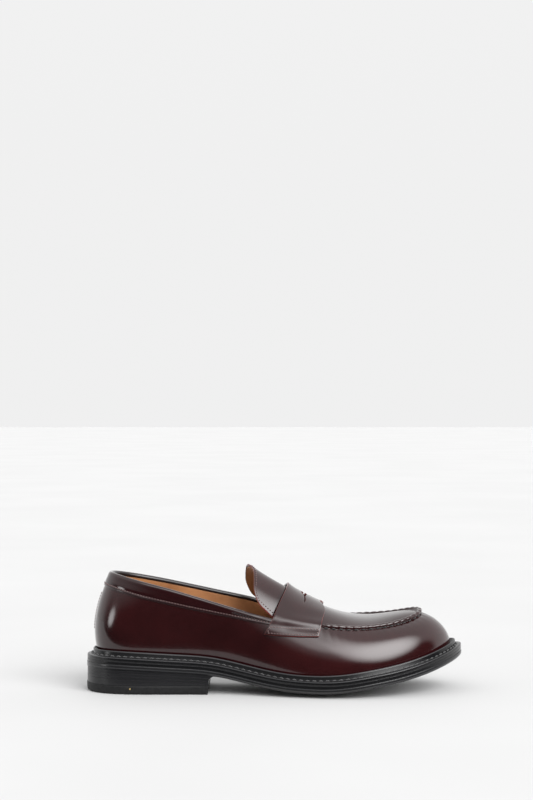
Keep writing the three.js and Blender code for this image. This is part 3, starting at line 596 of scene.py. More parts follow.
def ranged(tree, factor, low, high, start=0.0, end=1.0, kind="LINEAR"):
    """Runs from `low` to `high` while the factor runs from `start` to `end`."""
    made = node(tree, "ShaderNodeMapRange", {
        "Value": factor, "From Min": start, "From Max": end, "To Min": low, "To Max": high,
    }, interpolation_type=kind)
    return made.outputs["Result"]


def reckoned(tree, operation, a, b):
    """The sum, product and so on of two values."""
    return node(tree, "ShaderNodeMath", {0: a, 1: b}, operation=operation).outputs["Value"]


def rim_share(tree):
    """How far the surface is a sheet's cut edge."""
    return node(tree, "ShaderNodeAttribute", attribute_name="rim").outputs["Fac"]


def mixed(tree, factor, a, b):
    made = node(tree, "ShaderNodeMix", data_type="RGBA")
    tree.links.new(factor, made.inputs["Factor"])
    for socket, value in ((made.inputs[6], a), (made.inputs[7], b)):
        if isinstance(value, bpy.types.NodeSocket):
            tree.links.new(value, socket)
        else:
            socket.default_value = (*value, 1)
    return made.outputs[2]


def finish(tree, shader, colour, roughness, bumps):
    """Links a shader's colour and roughness, and bumps (height, strength, distance) in a chain."""
    tree.links.new(colour, shader.inputs["Base Color"])
    tree.links.new(roughness, shader.inputs["Roughness"])
    chain = {}
    for height, strength, distance in bumps:
        inputs = {"Height": height, "Strength": strength, "Distance": distance, **chain}
        chain = {"Normal": node(tree, "ShaderNodeBump", inputs).outputs["Normal"]}
    tree.links.new(chain["Normal"], shader.inputs["Normal"])


def leather(name, dark, light, edge, rough, coat_roughness):
    """Finished leather: mottled dye, fine pores, faint creases, and a raw edge on its rim."""
    material, tree, shader = blank(
        name, Coat_Weight=0.8, Coat_Roughness=coat_roughness, Coat_IOR=1.5,
        Specular_IOR_Level=0.35)
    even = stretched(tree)
    cloud = noise(tree, even, 9, 2)
    body = ramp(tree, noise(tree, even, 26, 4), dark, light, 0.3, 0.72)
    deeper = ramp(tree, cloud, tuple(c * 0.72 for c in dark), light, 0.3, 0.8)
    body = mixed(tree, ranged(tree, cloud, 0.2, 0.6), body, deeper)
    rim = rim_share(tree)
    fibres = ramp(tree, noise(tree, even, 900, 2), tuple(c * 0.55 for c in edge), edge)
    gloss = ranged(tree, noise(tree, even, 60, 3), *rough)
    worn = reckoned(tree, "ADD", gloss, ranged(tree, rim, 0, 0.3))
    pores = node(tree, "ShaderNodeTexVoronoi", {
        "Vector": even, "Scale": 1500.0}, feature="DISTANCE_TO_EDGE").outputs["Distance"]
    creases = noise(tree, stretched(tree, (1, 0.35, 0.8)), 240, 5, 0.6)
    finish(tree, shader, mixed(tree, rim, body, fibres), worn, [
        (noise(tree, even, 38, 2), 0.25, 0.0006), (creases, 0.06, 0.0005),
        (pores, 0.078, 0.0002)])
    return material


def soft_lining(name, dark, light):
    """Undyed calf lining with an open nap."""
    material, tree, shader = blank(
        name, Specular_IOR_Level=0.3, Sheen_Weight=0.25, Sheen_Roughness=0.4)
    even = stretched(tree)
    tone = ramp(tree, noise(tree, even, 45, 5), dark, light, 0.3, 0.7)
    finish(tree, shader, tone, ranged(tree, noise(tree, even, 150), 0.5, 0.72), [
        (noise(tree, even, 700, 4), 0.25, 0.0003), (noise(tree, even, 60, 2), 0.3, 0.0006)])
    return material


def dressed_edge(name, dark, light, lines, rough, streak, specular):
    """Stacked leather dressed black: fine level striations over a waxed satin surface, with a
    painted highlight: its rim is coloured light grey.
    """
    material, tree, shader = blank(
        name, Coat_Weight=0.05, Coat_Roughness=0.2, Specular_IOR_Level=specular)
    bands = noise(tree, stretched(tree, (3, 3, lines)), 1, 4, 0.7)
    smear = noise(tree, stretched(tree), 55, 4)
    tone = mixed(tree, ranged(tree, smear, 0.1, 0.7), ramp(tree, bands, dark, light), light)
    # Painted highlight: the rim share mixes the colour towards light grey, standing in for the
    # light caught along the dressed edges.
    painted_edge_highlight = ranged(tree, rim_share(tree), 0, 0.35)
    colour = mixed(tree, painted_edge_highlight, tone, (0.09, 0.09, 0.094))
    finish(tree, shader, colour, ranged(tree, bands, *rough), [
        (bands, streak, 0.0003), (smear, 0.15, 0.0006)])
    return material


def plain_grain(name, dark, light, scale, rough, bump=0.2, **constants):
    """A mottled, slightly rough surface: rubber, cork, board or metal."""
    material, tree, shader = blank(name, **constants)
    even = stretched(tree)
    speckle = noise(tree, even, scale, 5)
    roughness = ranged(tree, noise(tree, even, scale / 3), *rough)
    finish(tree, shader, ramp(tree, speckle, dark, light), roughness, [(speckle, bump, 0.0004)])
    return material


def waxed_thread(name, dark, light):
    """Twisted thread: slanting plies under wax."""
    material, tree, shader = blank(name, Sheen_Weight=0.3)
    plies = node(tree, "ShaderNodeTexWave", {
        "Vector": stretched(tree), "Scale": 900.0, "Distortion": 2.0,
    }, bands_direction="DIAGONAL").outputs["Fac"]
    colour = ramp(tree, plies, dark, light, 0.1, 0.9)
    finish(tree, shader, colour, ranged(tree, plies, 0.45, 0.65), [(plies, 0.4, 0.0002)])
    return material


# Looks: a material and a slot name, which is not used here.
OXBLOOD = leather(
    "oxblood_leather", (0.013, 0.0022, 0.0026), (0.031, 0.005, 0.0056), (0.2, 0.028, 0.024),
    (0.13, 0.22), 0.06), "burgundy"
COLLAR = leather(
    "collar_leather", (0.011, 0.0022, 0.0026), (0.022, 0.0042, 0.005), (0.009, 0.003, 0.0034),
    (0.11, 0.2), 0.05), "burgundy"
RAW = plain_grain(
    "raw_leather", (0.012, 0.002, 0.002), (0.04, 0.006, 0.005), 600, (0.8, 0.95), 0.3,
    Specular_IOR_Level=0.1), "burgundy"
TAN = soft_lining("tan_lining", (0.25, 0.1, 0.036), (0.42, 0.19, 0.075)), "lining"
BLACK_EDGE = dressed_edge(
    "black_sole_edge", (0.002, 0.002, 0.0023), (0.006, 0.0059, 0.0066), 900, (0.18, 0.3), 0.06,
    0.4), "sole"
STACKED = dressed_edge(
    "stacked_heel", (0.0035, 0.0035, 0.0041), (0.012, 0.0118, 0.0132), 1000, (0.24, 0.36), 0.04,
    0.35), "stack"
RUBBER = plain_grain(
    "heel_rubber", (0.006, 0.006, 0.0065), (0.012, 0.012, 0.0125), 500, (0.45, 0.62),
    Specular_IOR_Level=0.25), "rubber"
THREADS = {
    "seam": (waxed_thread("black_thread", (0.006, 0.006, 0.006), (0.03, 0.029, 0.029)),
             "black_thread"),
    "welt": (waxed_thread("welt_thread", (0.02, 0.02, 0.021), (0.075, 0.073, 0.075)),
             "black_thread"),
    "fine": (waxed_thread("oxblood_thread", (0.05, 0.022, 0.022), (0.2, 0.115, 0.11)),
             "dark_thread"),
}
# Materials of the pieces inside, which keep their CAD shape.
CORK = plain_grain("cork", (0.12, 0.07, 0.03), (0.32, 0.2, 0.1), 420, (0.85, 0.95), 0.6)
BOARD = plain_grain("insole_board", (0.3, 0.19, 0.1), (0.45, 0.3, 0.17), 260, (0.7, 0.85))
STIFF = plain_grain("stiffener", (0.42, 0.34, 0.22), (0.58, 0.48, 0.33), 300, (0.75, 0.9))
STEEL = plain_grain(
    "steel", (0.3, 0.31, 0.32), (0.5, 0.5, 0.51), 350, (0.28, 0.42), 0.1, Metallic=1)
BRASS = plain_grain(
    "brass", (0.6, 0.42, 0.15), (0.85, 0.66, 0.3), 350, (0.2, 0.35), 0.1, Metallic=1)
HIDDEN = {
    "cork_filler": CORK, "steel_shank": STEEL, "insole_board": BOARD,
    "heel_counter": STIFF, "toe_puff": STIFF, "heel_side_pin": BRASS,
    **{f"heel_nail_{i}": STEEL for i in range(1, 6)},
}
for name, material in HIDDEN.items():
    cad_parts[name].data.materials.clear()
    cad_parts[name].data.materials.append(material)


# ---- bottom
def side_share(inset, x, outer):
    """The share of the way to the toe at which the outline, drawn in, passes x."""
    share = np.linspace(0, 1, 1500)
    k = share * TOE if outer else STATIONS - share * TOE
    return np.interp(x, np.maximum.accumulate(outline(k, inset)[:, 0]), share)


def plan_rows(inset, end, rows, columns):
    """A grid of plan points across the bottom, from the heel to `end` (None for the toe)."""
    t = np.linspace(0, 1, rows)
    if end is None:
        t = lerp(t, (1 - np.cos(np.pi * t)) / 2, 0.35)
        limits = 1.0, 1.0
    else:
        t = np.sin(t * np.pi / 2) ** 1.2
        limits = side_share(inset, end, True), side_share(inset, end, False)
    sides = []
    for k in (t * limits[0] * TOE, STATIONS - t * limits[1] * TOE):
        sides.append(outline(k, inset(k) if callable(inset) else inset)[:, None])
    return lerp(*sides, np.linspace(0, 1, columns)[None, :, None])


def layer(name, levels, look, cad_node, rows=150, columns=9):
    """A layer whose side follows levels (inset, end, height above the plan, share of rim, painted
    as a highlight on dressed edges).
    """
    grids = []
    for inset, end, height, _ in levels:
        grid = plan_rows(inset, end, rows, columns)
        grid[..., 2] = height(grid[..., 0], grid[..., 1])
        grids.append(grid)
    i, j = border(rows, columns)
    rings = [grid[i, j] for grid in grids[1:-1]]
    shape = closed_sheet(grids[0], grids[-1], rings, [level[3] for level in levels[1:-1]])
    make(name, shape, look, cad_node)


def under(depth):
    return lambda x, y: welt_top(x, y) - depth


def flat(height):
    return lambda x, y: np.full(np.shape(x), float(height))


def whole(top, side):
    """Levels right round the sole, from (inset, depth under `top`, share of rim, painted as a
    highlight on dressed edges).
    """
    return [(inset, None, under(top + depth), rim_highlight) for inset, depth, rim_highlight in side]


midsole_top = WELT + GAP
outsole_top = midsole_top + MIDSOLE + GAP
heel_seat = outsole_top + OUTSOLE


def midsole_edge():
    """The midsole, its edges softened, filling the joints above and below it."""
    soft, start = 0.16, MIDSOLE_SETBACK
    thick = MIDSOLE + 2 * (GAP - SEAM_LINE)
    # The last column of each level is the rim share, painted as a highlight on the edge.
    layer("midsole_edge", whole(WELT + SEAM_LINE, [
        (start + 2 * soft, 0, 0), (start + soft * 0.4, soft * 0.25, 0.6), (start, soft, 0.7),
        (start, soft + HOLD, 0), (start, thick - soft - HOLD, 0), (start, thick - soft, 0.4),
        (start + soft * 0.4, thick - soft * 0.25, 0.3), (start + 2 * soft, thick, 0),
    ]), BLACK_EDGE, "midsole")


def bevel(inset):
    """The inset of a bevelled edge, which runs out over the heel."""
    return lambda k: 0.05 + inset * smoothstep(outline_x(k), HEEL_LENGTH, HEEL_LENGTH + 14)


midsole_edge()
# The last column of each level is the rim share, painted as a highlight on the edge.
layer("outsole_edge", whole(outsole_top, [
    (1.2, 0, 0), (0.4, 0.04, 0.2), (0.12, 0.2, 0.6), (0.02, 0.6, 0.5), (0, 1.8, 0.1),
    (0.0, OUTSOLE - EDGE_BEVEL, 1), (bevel(0.5), OUTSOLE - EDGE_BEVEL * 0.45, 0.1),
    (bevel(1.4), OUTSOLE - 0.1, 0), (bevel(3.2), OUTSOLE, 0),
]), BLACK_EDGE, "outsole")


def storm_welt():
    """The welt: a strip all round, with a sunk stitch channel and a raised lip by the upper."""
    k = spaced_stations(0, STATIONS, 1.6, outline)[:-1]
    lip = LIP_FOOT - LIP_THICKNESS
    profile = np.array([  # inset, height, share of rim (painted highlight on the welt's outer edge and its lip)
        [0.1, -WELT, 0], [0, -2.8, 0], [0, -0.9, 0], [0.03, -0.35, 0.6], [0.25, -0.03, 1],
        [0.8, 0.12, 0.5], [2.3, 0.5, 0], [STITCH_CHANNEL - 0.75, 0.62, 0],
        [STITCH_CHANNEL - 0.4, 0.3, 0], [STITCH_CHANNEL + 0.4, 0.3, 0],
        [STITCH_CHANNEL + 0.75, 0.9, 0], [lip - 0.05, WELT_SLOPE - 0.2, 0],
        [lip + 0.12, STORM_LIP - 1.2, 0], [lip + 0.3, STORM_LIP - 0.45, 0.8],
        [lip + 0.7, STORM_LIP - 0.05, 1], [lip + 1.05, STORM_LIP - 0.15, 0.5],
        [lip + 1.25, STORM_LIP - 0.7, 0], [LIP_FOOT + 0.2, 0.3, 0], [WELT_WIDTH, 0, 0],
        [WELT_WIDTH, -WELT, 0],
    ])
    rings = outline(k[:, None], WELT_SETBACK + profile[None, :, 0])
    rings[..., 2] = welt_top(rings[..., 0], rings[..., 1]) + profile[:, 1]
    shape = *loft(rings, closed=True), np.tile(profile[:, 2], len(k))
    make("storm_welt_strip", shape, BLACK_EDGE, "storm_welt")
    path = outline(spaced_stations(0, STATIONS, 0.8, outline), WELT_SETBACK + STITCH_CHANNEL)
    path[:, 2] = welt_top(path[:, 0], path[:, 1]) + 0.55
    sew("welt_stitches", [(path, np.tile(UP, (len(path), 1)))], "welt", "welt_thread")


storm_welt()


def breast(height):
    """How far from the back the heel's front face lies, at a height under the sole."""
    run = np.clip(1 - height / BREAST_CURVE, 0, 1)
    return HEEL_LENGTH + BREAST_CURVE * (1 - math.sqrt(1 - run ** 2))


def heel():
    """Three lifts that follow the seat, a wedge, and the rubber top piece, dressed flush."""
    soft, rows = 0.04, 60
    for i in range(LIFTS):
        top = i * (LIFT + GAP) + (SEAM_LINE if i else 0.02)
        thick = (i + 1) * (LIFT + GAP) - SEAM_LINE - top
        levels = []
        # The last column is the rim share, where the stacked-heel material paints a highlight.
        for inset, depth, rim_highlight in (
            (0.5, 0, 0), (0.06, 0.03, 0.1), (0, soft, 0.15), (0, soft + HOLD, 0),
            (0, thick - soft - HOLD, 0), (0, thick - soft, 0.1), (0.06, thick - 0.03, 0.1),
            (0.5, thick, 0),
        ):
            end = breast(top + depth) - inset
            levels.append((HEEL_INSET + inset, end, under(heel_seat + top + depth), rim_highlight))
        layer(f"lift_{i + 1}", levels, STACKED, f"heel_lift_{i + 1}", rows)
    top = heel_seat + LIFTS * (LIFT + GAP) + SEAM_LINE
    foot = TOP_PIECE + SEAM_LINE
    # Its last column too is the rim share, painted as a highlight.
    layer("lift_wedge", [
        (HEEL_INSET + inset, HEEL_LENGTH - inset, height, rim_highlight) for inset, height, rim_highlight in (
            (0.5, under(top), 0), (0.06, under(top + soft), 0.1), (0, under(top + soft), 0.15),
            (0, under(top + soft + HOLD), 0), (0, flat(foot + soft + HOLD), 0),
            (0, flat(foot + soft), 0.2), (0.15, flat(foot + soft), 0.2), (0.5, flat(foot), 0),
        )
    ], STACKED, "heel_wedge_lift", rows)
    layer("top_piece", [
        (inset, HEEL_LENGTH - inset * 0.5, flat(height), rim_highlight) for inset, height, rim_highlight in (
            (1.2, TOP_PIECE, 0), (0.35, TOP_PIECE - 0.05, 0.3), (0.02, TOP_PIECE - 0.4, 0.7),
            (0, 5.2, 0.1), (0.05, 2.6, 0), (0.3, 1.2, 0.2), (0.75, 0.45, 0.1), (1.5, 0.06, 0),
            (2.6, 0, 0),
        )
    ], RUBBER, "heel_top_piece", rows)


heel()


# ---- upper
def ridge_share(k):
    """How far the gathered roll has grown at a station, from 0 under the strap to 1."""
    return smoothstep(top_x(k), SEAM_START - 1, SEAM_START + 7)


seam_k = np.linspace(*(station_at(STRAP_FRONT["flank"] - 2, side) for side in (True, False)), 1500)
seam_run = run_along(top_edge(seam_k))
SEAM_COUNT = int(round(seam_run[-1] / STITCHES["seam"][0]))


def pleats(k):
    """1 on the swell between two stitches of the apron seam and 0 in the pinch at each end."""
    share = np.interp(k, seam_k, seam_run / seam_run[-1]) * SEAM_COUNT
    return np.abs(np.sin(np.pi * share)) ** 0.55


def vamp():
    """The wall of the upper, sewn up the back, with a gathered roll along the apron."""
    k = spaced_stations(BACK_SEAM, STATIONS - BACK_SEAM, 0.8)
    covered = 1.6 * (1 - smoothstep(top_x(k), COLLAR_END - 3, COLLAR_END + 5))
    top = share_at_depth(k, np.maximum(covered, 0.01)[:, None])[:, 0]
    heights = 1 - (1 - np.linspace(0, 1, 34)) ** 1.35
    v = heights[None, :] * top[:, None]
    swell, grown = pleats(k), ridge_share(k)
    pinch = (1 - swell) * grown
    wall_height = 40
    depth_from_top = (1 - heights)[None, :] * wall_height
    dent = -PINCH * pinch[:, None] * np.exp(-depth_from_top / PINCH_FADE)
    face = off_wall(k[:, None], v, dent)
    back = off_wall(k[:, None], v, dent - LEATHER)
    seam, out = face[:, -1], edge_outward(k)
    radius = (ROLL * (0.965 + 0.035 * swell) * grown + 0.03)[:, None, None]
    centre = seam[:, None] + UP * radius * 0.95 - out[:, None] * radius * 0.35
    turn = np.radians(np.linspace(-58, 168, 15))[None, :, None]
    spoke = out[:, None] * np.cos(turn) + UP * np.sin(turn)
    low = np.clip(1 - (turn + 1) / 1.6, 0, 1)  # the pinches run deepest at the roll's foot
    roll = centre + spoke * radius * (1 - 0.2 * pinch[:, None, None] * low)
    core = centre + spoke * radius * 0.15
    face, back = np.concatenate([face, roll], axis=1), np.concatenate([back, core], axis=1)
    verts, faces, rim = shell(face, back, bulge=0.25)
    make("vamp", (verts, faces, rim * 0.4), OXBLOOD, "vamp_and_quarters")


vamp()


def seam_stitches():
    """Black stitches in the crease under the roll, one to each pleat, and up the back."""
    path = below_edge(seam_k, np.array([[0.35]]), np.array([[0.25]]))[:, 0]
    normals = unit(edge_outward(seam_k) * 0.8 + UP * 0.6)
    sew("apron_seam_stitches", [(path, normals)], "seam", "apron_seam_thread",
        pitch=seam_run[-1] / SEAM_COUNT)
    v = np.linspace(0.3, 0.76, 120)
    rows = []
    for side in (0.055, STATIONS - 0.055):
        k = np.full(len(v), side)
        rows.append((off_wall(k, v, np.full(len(v), 0.05)), wall_normal(k, v)))
    sew("back_seam_stitches", rows, "fine", "back_seam_thread")


seam_stitches()


def collar_depth(k):
    return collar_shape(top_x(k) / SHARE_STEP)


def collar_stand(k):
    return lerp(COLLAR_STAND, COLLAR_STAND_END, smoothstep(top_x(k), *COLLAR_THINS))


def collar_band():
    """The band round the top line, folded over a cord to the inside, with one stitched row."""
    start = station_at(COLLAR_END, False) - STATIONS
    k = spaced_stations(start, station_at(COLLAR_END, True), 1.0)
    depth = collar_depth(k)[:, None]
    outer, inner = COLLAR_STAND, -LEATHER - GAP - COLLAR_LEATHER
    lower = np.array([  # off the wall, below the band's lower edge
        [-0.05, 0.02], [0.5 * outer, 0.03], [0.88 * outer, -0.12], [outer, -0.45],
        [outer + 0.02, -COLLAR_ROW + 0.7], [outer - 0.25, -COLLAR_ROW],
        [outer + 0.02, -COLLAR_ROW - 0.7],
    ])
    bead = np.array([  # off the wall, below the top line
        [outer + 0.05, 3.4], [outer + 0.1, 2.2], [outer + 0.05, 1.2], [outer - 0.25, 0.35],
        [outer - 1.0, -0.2], [-LEATHER / 2, -0.42], [inner + 1.0, -0.2], [inner + 0.3, 0.35],
        [inner - 0.1, 1.2], [inner - 0.1, COLLAR_TURN - 0.3], [inner + 0.3, COLLAR_TURN + 0.1],
        [inner + COLLAR_LEATHER, COLLAR_TURN], [-LEATHER / 2, COLLAR_LEATHER + 0.4],
        [-0.05, COLLAR_LEATHER + 0.4],
    ])
    outs = np.concatenate([lower[:, 0], [outer + 0.04, outer + 0.04], bead[:, 0]])
    depths = np.concatenate([
        depth + lower[None, :, 1], depth * 0.62, depth * 0.45,
        np.tile(bead[None, :, 1], (len(k), 1)),
    ], axis=1)
    thinned = (collar_stand(k) / COLLAR_STAND)[:, None]
    rings = below_edge(k, depths, np.where(outs > 0, outs * thinned, outs))
    rim = np.zeros(len(outs))
    rim[1:3] = 0.7
    rim[15:22] = 1  # the turned-in side is left matt
    shape = *loft(rings), np.tile(rim, len(k))
    make("collar", shape, COLLAR, "collar_band")
    line = spaced_stations(k[0], k[-1], 0.7)
    rows = collar_depth(line)[:, None] - COLLAR_ROW
    path = below_edge(line, rows, (collar_stand(line) - 0.16)[:, None])[:, 0]
    normals = wall_normal(line, share_at_depth(line, rows)[:, 0])
    sew("collar_stitches", [(path, normals)], "fine", "collar_thread")


collar_band()


def lining_sheet(name, start, end, top, cad_node):
    """A lining that hugs the inside of the wall, over the stiffeners, `top` under its edge."""
    k = spaced_stations(start, end, 2.0)
    high = share_at_depth(k, np.full((len(k), 1), top))
    v = lerp(0.04, high, np.linspace(0, 1, 30)[None, :])
    packed = LEATHER + STIFFENER + 2 * GAP
    out = -lerp(packed, LEATHER + GAP, smoothstep(v, 0.35, 0.72))
    face, back = off_wall(k[:, None], v, out), off_wall(k[:, None], v, out - LINING)
    make(name, shell(face, back, bulge=0.3)[:2], TAN, cad_node)


split = station_at(LINING_SPLIT, True), station_at(LINING_SPLIT, False)
lining_sheet("quarter_lining_skin", split[1] - STATIONS + 0.05, split[0] - 0.05,
             COLLAR_TURN + GAP, "quarter_lining")
lining_sheet("vamp_lining_skin", *split, 2.5, "vamp_lining")
layer("sock", whole(-INSOLE - GAP, [
    (INSIDE + 0.9, -1, 0), (INSIDE + 0.2, -0.8, 0), (INSIDE, -0.5, 0), (INSIDE + 0.2, -0.1, 0),
    (INSIDE + 0.6, 0, 0),
]), TAN, "sock_liner")


# ---- apron
def cap(inset, depth, rows=110, columns=61):
    """A cap over the instep between the two sides of the seam, from under the strap."""
    share = 1 - (1 - np.linspace(0, 1, rows)) ** 1.25
    sides = []
    for outer in (True, False):
        k = lerp(station_at(APRON_START, outer), TOE, share)
        sides.append(top_edge(k) - edge_outward(k) * inset - UP * depth)
    lean = np.linspace(-1, 1, columns)
    w = np.sign(lean) * (1 - (1 - np.abs(lean)) ** 1.35)
    return instep_between(sides[0][:, None], sides[1][:, None], w[None, :], depth), sides, w


def apron():
    """The plug over the instep. Its edge turns up against the gathered roll."""
    inset = 1.35 * ROLL + 0.05
    strap_edge = STRAP_FRONT["top"]
    grids = []
    for depth in (-APRON_RISE, LEATHER - APRON_RISE):
        grid, (outer, inner), w = cap(inset, depth)
        x = grid[..., 0]
        width = np.linalg.norm(outer - inner, axis=1)[:, None]
        from_edge = (1 - np.abs(w))[None, :] * width / 2
        turned = APRON_TURN * np.exp(-(from_edge / APRON_TURN_WIDTH) ** 1.5)
        turned = turned * smoothstep(x, SEAM_START - 2, SEAM_START + 6)
        free = smoothstep(x, strap_edge - APRON_FADE, strap_edge)
        grid[..., 2] += turned - APRON_TUCK * (1 - free)
        grids.append(grid)
    verts, faces, _ = shell(*grids, bulge=0.15)
    # Under the strap the leather is left raw.
    rim = 1 - smoothstep(verts[:, 0], strap_edge - APRON_FADE, strap_edge - 3)
    make("apron_plug", (verts, faces, rim), OXBLOOD, "apron")
    plug = LEATHER - APRON_RISE + 2 * GAP + APRON_TUCK
    face, back = (cap(inset + 1.2, depth, 60, 31)[0] for depth in (plug, plug + LINING))
    make("apron_lining_skin", shell(face, back, bulge=0.15)[:2], TAN, "apron_lining")


apron()


# ---- tongue
def tongue_point(share, w, depth):
    """A point of the tongue: share runs from its rear edge to its root, w across it."""
    past = np.clip((np.abs(w) - TONGUE_CORNER["from"]) / (1 - TONGUE_CORNER["from"]), 0, 1)
    t = lerp(TONGUE_CORNER["depth"] * (1 - np.sqrt(1 - past ** 2)), 1, share)
    reach = lerp(TONGUE["back_reach"], TONGUE["front_reach"], smoothstep(t, 0, 0.6))
    at = w * reach
    turn = np.where(
        at < 0,
        TONGUE_TURN["outer"] * np.tanh(-at / TONGUE_TURN["outer_span"]),
        -TONGUE_TURN["inner"] * np.tanh(at / TONGUE_TURN["inner_span"]))
    x = lerp(TONGUE["back"] + turn, TONGUE_FRONT, t)
    centre = instep(x, np.zeros_like(x))
    z = centre[..., 2] + TONGUE["lift"] - TONGUE_RISE * np.abs(at) ** 1.9 - depth
    return points(x, centre[..., 1] + at * TONGUE["half"], z)


def tongue_grid(depth, shrink=0.0, rows=44, columns=91):
    w = np.sin(np.linspace(-1, 1, columns) * np.pi / 2) * (1 - shrink)
    t = np.linspace(shrink * 0.8, 1, rows)
    return tongue_point(t[:, None], w[None, :], depth)


def tongue():
    """The tongue's leather, its tan lining, and a stitched row inside its edge."""
    shape = shell(tongue_grid(0), tongue_grid(TONGUE_LEATHER), bulge=0.35)
    make("tongue_leather", shape, OXBLOOD, "tongue", "tongue")
    face = TONGUE_LEATHER + 0.1
    shape = shell(tongue_grid(face, 0.02), tongue_grid(face + LINING, 0.02), bulge=0.3)
    make("tongue_lining_skin", shape[:2], TAN, "tongue_lining", "tongue")
    edge, start, count = 0.945, 0.045, 60
    side = np.linspace(0.62, start, count)
    t = np.concatenate([side, np.full(160, start), side[::-1]])
    w = np.concatenate([
        np.full(count, -edge), np.linspace(-edge, edge, 162)[1:-1], np.full(count, edge)])
    step = 0.01
    du = tongue_point(t + step, w, 0) - tongue_point(t - step, w, 0)
    dv = tongue_point(t, w + step, 0) - tongue_point(t, w - step, 0)
    row = tongue_point(t, w, 0), unit(np.cross(du, dv))
    sew("tongue_stitches", [row], "fine", "tongue_thread", "tongue")


tongue()


# ---- strap
HALF_KEYS = [0.2, 0.44, 0.66, 0.86, 1, 1.1, 1.2, STRAP_END]
STRAP_KEYS = np.array([-q for q in HALF_KEYS[::-1]] + [0] + HALF_KEYS)


def strap_x(q, t):
    away = abs(q)
    rear = lerp(STRAP_BACK["top"], STRAP_BACK["side"], (away / STRAP_END) ** 1.9)
    top, flank, side = (STRAP_FRONT[key] for key in ("top", "flank", "side"))
    past = max(0, away - 0.5) / (STRAP_END - 0.5)
    front = top + (flank - top) * smoothstep(away, 0, 0.5) - (flank - side) * past ** 1.5
    return lerp(rear, front, t)


def strap_bed(q, t):
    """Where the strap's underside lies: q = -1 and 1 on the seams, t from its rear edge."""
    x = strap_x(q, t)
    k = station_at(x, q < 0)
    grown = ridge_share(k)
    if abs(q) <= 1:
        over = STRAP_OVER_ROLL * grown * smoothstep(abs(q), 0.72, 0.97)
        lifted = STRAP_LIFT * (1 - t) ** 6 * (1 - abs(q))
        settled = STRAP_SETTLE * smoothstep(abs(q), 0.72, 0.98)
        height = STRAP_STAND - settled + over + lifted
        return instep(x, q + 0 * x) + UP * height[:, None] + edge_outward(k) * 0.45 * abs(q) ** 6
    depth = (abs(q) - 1) * lerp(STRAP_DROP["back"], STRAP_DROP["front"], t) / (STRAP_END - 1)
    over_collar = COLLAR_STAND_END * (1 - smoothstep(x, COLLAR_END, COLLAR_END + 8))
    round_roll = STRAP_ROUND_ROLL * grown * (1 - smoothstep(depth, 2, 6))
    out = 0.1 + over_collar + 0.25 * smoothstep(depth, 3, 8) + round_roll
    return below_edge(k, depth[:, None], out[:, None])[:, 0]


def strap_surface(t):
    """The strap's underside at rows t, as evenly spaced columns."""
    keys = np.stack([strap_bed(q, t) for q in STRAP_KEYS], axis=1)
    return np.stack([smooth_path(row, STRAP_COLUMNS) for row in keys])


STRAP_UNDERSIDE = strap_surface(np.linspace(0, 1, 61))
STRAP_UP = grid_normals(STRAP_UNDERSIDE)


def slot_half_width(across):
    """Half the slot's opening, `across` from the ridge: a diamond that runs out into slits."""
    half = SLOT_LENGTH / 2
    diamond = lerp(SLOT_WIDTH / 2, SLIT, np.clip(np.abs(across) / (half * SLOT_NOTCH), 0, 1))
    slit = SLIT * np.clip((half - np.abs(across)) / (half * 0.25), 0, 1)
    return np.where(np.abs(across) < half * SLOT_NOTCH, diamond, slit)


def on_grid(grid, t, u):
    """A grid of points, read at shares t of its rows and u of its columns."""
    rows, columns = grid.shape[:2]
    a, b = t * (rows - 1), u * (columns - 1)
    i = np.clip(np.floor(a).astype(int), 0, rows - 2)
    j = np.clip(np.floor(b).astype(int), 0, columns - 2)
    f, g = (a - i)[..., None], (b - j)[..., None]
    low = grid[i, j] * (1 - f) + grid[i + 1, j] * f
    high = grid[i, j + 1] * (1 - f) + grid[i + 1, j + 1] * f
    return low * (1 - g) + high * g


def slot_ring(half_open):
    """Indices i and j round the slot: its front edge, then its rear one."""
    opened = np.flatnonzero(half_open > 1e-3)
    slot = np.arange(opened[0] - 1, opened[-1] + 2)
    return np.concatenate([
        [np.full(len(slot), STRAP_ROWS), slot],
        [np.full(len(slot) - 2, STRAP_ROWS - 1), slot[1:-1][::-1]],
    ], axis=1)


def strap():
    """The saddle strap: one sheet sewn down at both sides, with the cut slot in its middle."""
    rough = strap_surface(np.linspace(0, 1, 9))
    run = run_along(rough[4])
    half_open = slot_half_width(run - run[-1] / 2)
    width = np.linalg.norm(np.diff(rough, axis=0), axis=-1).sum(axis=0)
    share = np.linspace(0, 1, STRAP_ROWS)[:, None] ** 0.9
    uncut = (0.5 - half_open / width)[None, :]
    t = np.concatenate([share * uncut, 1 - share[::-1] * uncut])
    u = np.linspace(0, 1, STRAP_COLUMNS)[None, :]
    below = on_grid(STRAP_UNDERSIDE, t, u)
    above = below + on_grid(STRAP_UP, t, u) * STRAP_LEATHER
    rows, columns = t.shape
    count = rows * columns
    quads = grid_faces(rows, columns).reshape(rows - 1, columns - 1, 4)
    quads = np.delete(quads, STRAP_ROWS - 1, axis=0).reshape(-1, 4)  # none across the slot
    verts = [above.reshape(-1, 3), below.reshape(-1, 3)]
    faces = [quads, quads[:, ::-1] + count]
    for (i, j), bulge in ((border(rows, columns), 0.3), (slot_ring(half_open), 0.12)):
        row = np.clip(i, 1, rows - 2)
        row = np.where(i == STRAP_ROWS, i + 1, np.where(i == STRAP_ROWS - 1, i - 1, row))
        half = (above[i, j] - below[i, j]) / 2
        away = bulge * unit(above[i, j] - above[row, np.clip(j, 1, columns - 2)])
        edge = i * columns + j
        rings = round_rim(below[i, j] + half, half, away)
        join_rings(verts, faces, edge, rings, edge + count)
    verts = np.concatenate(verts)
    rim = (np.arange(len(verts)) >= 2 * count).astype(float)
    make("strap", (verts, np.concatenate(faces), rim), OXBLOOD, "saddle_strap")


strap()


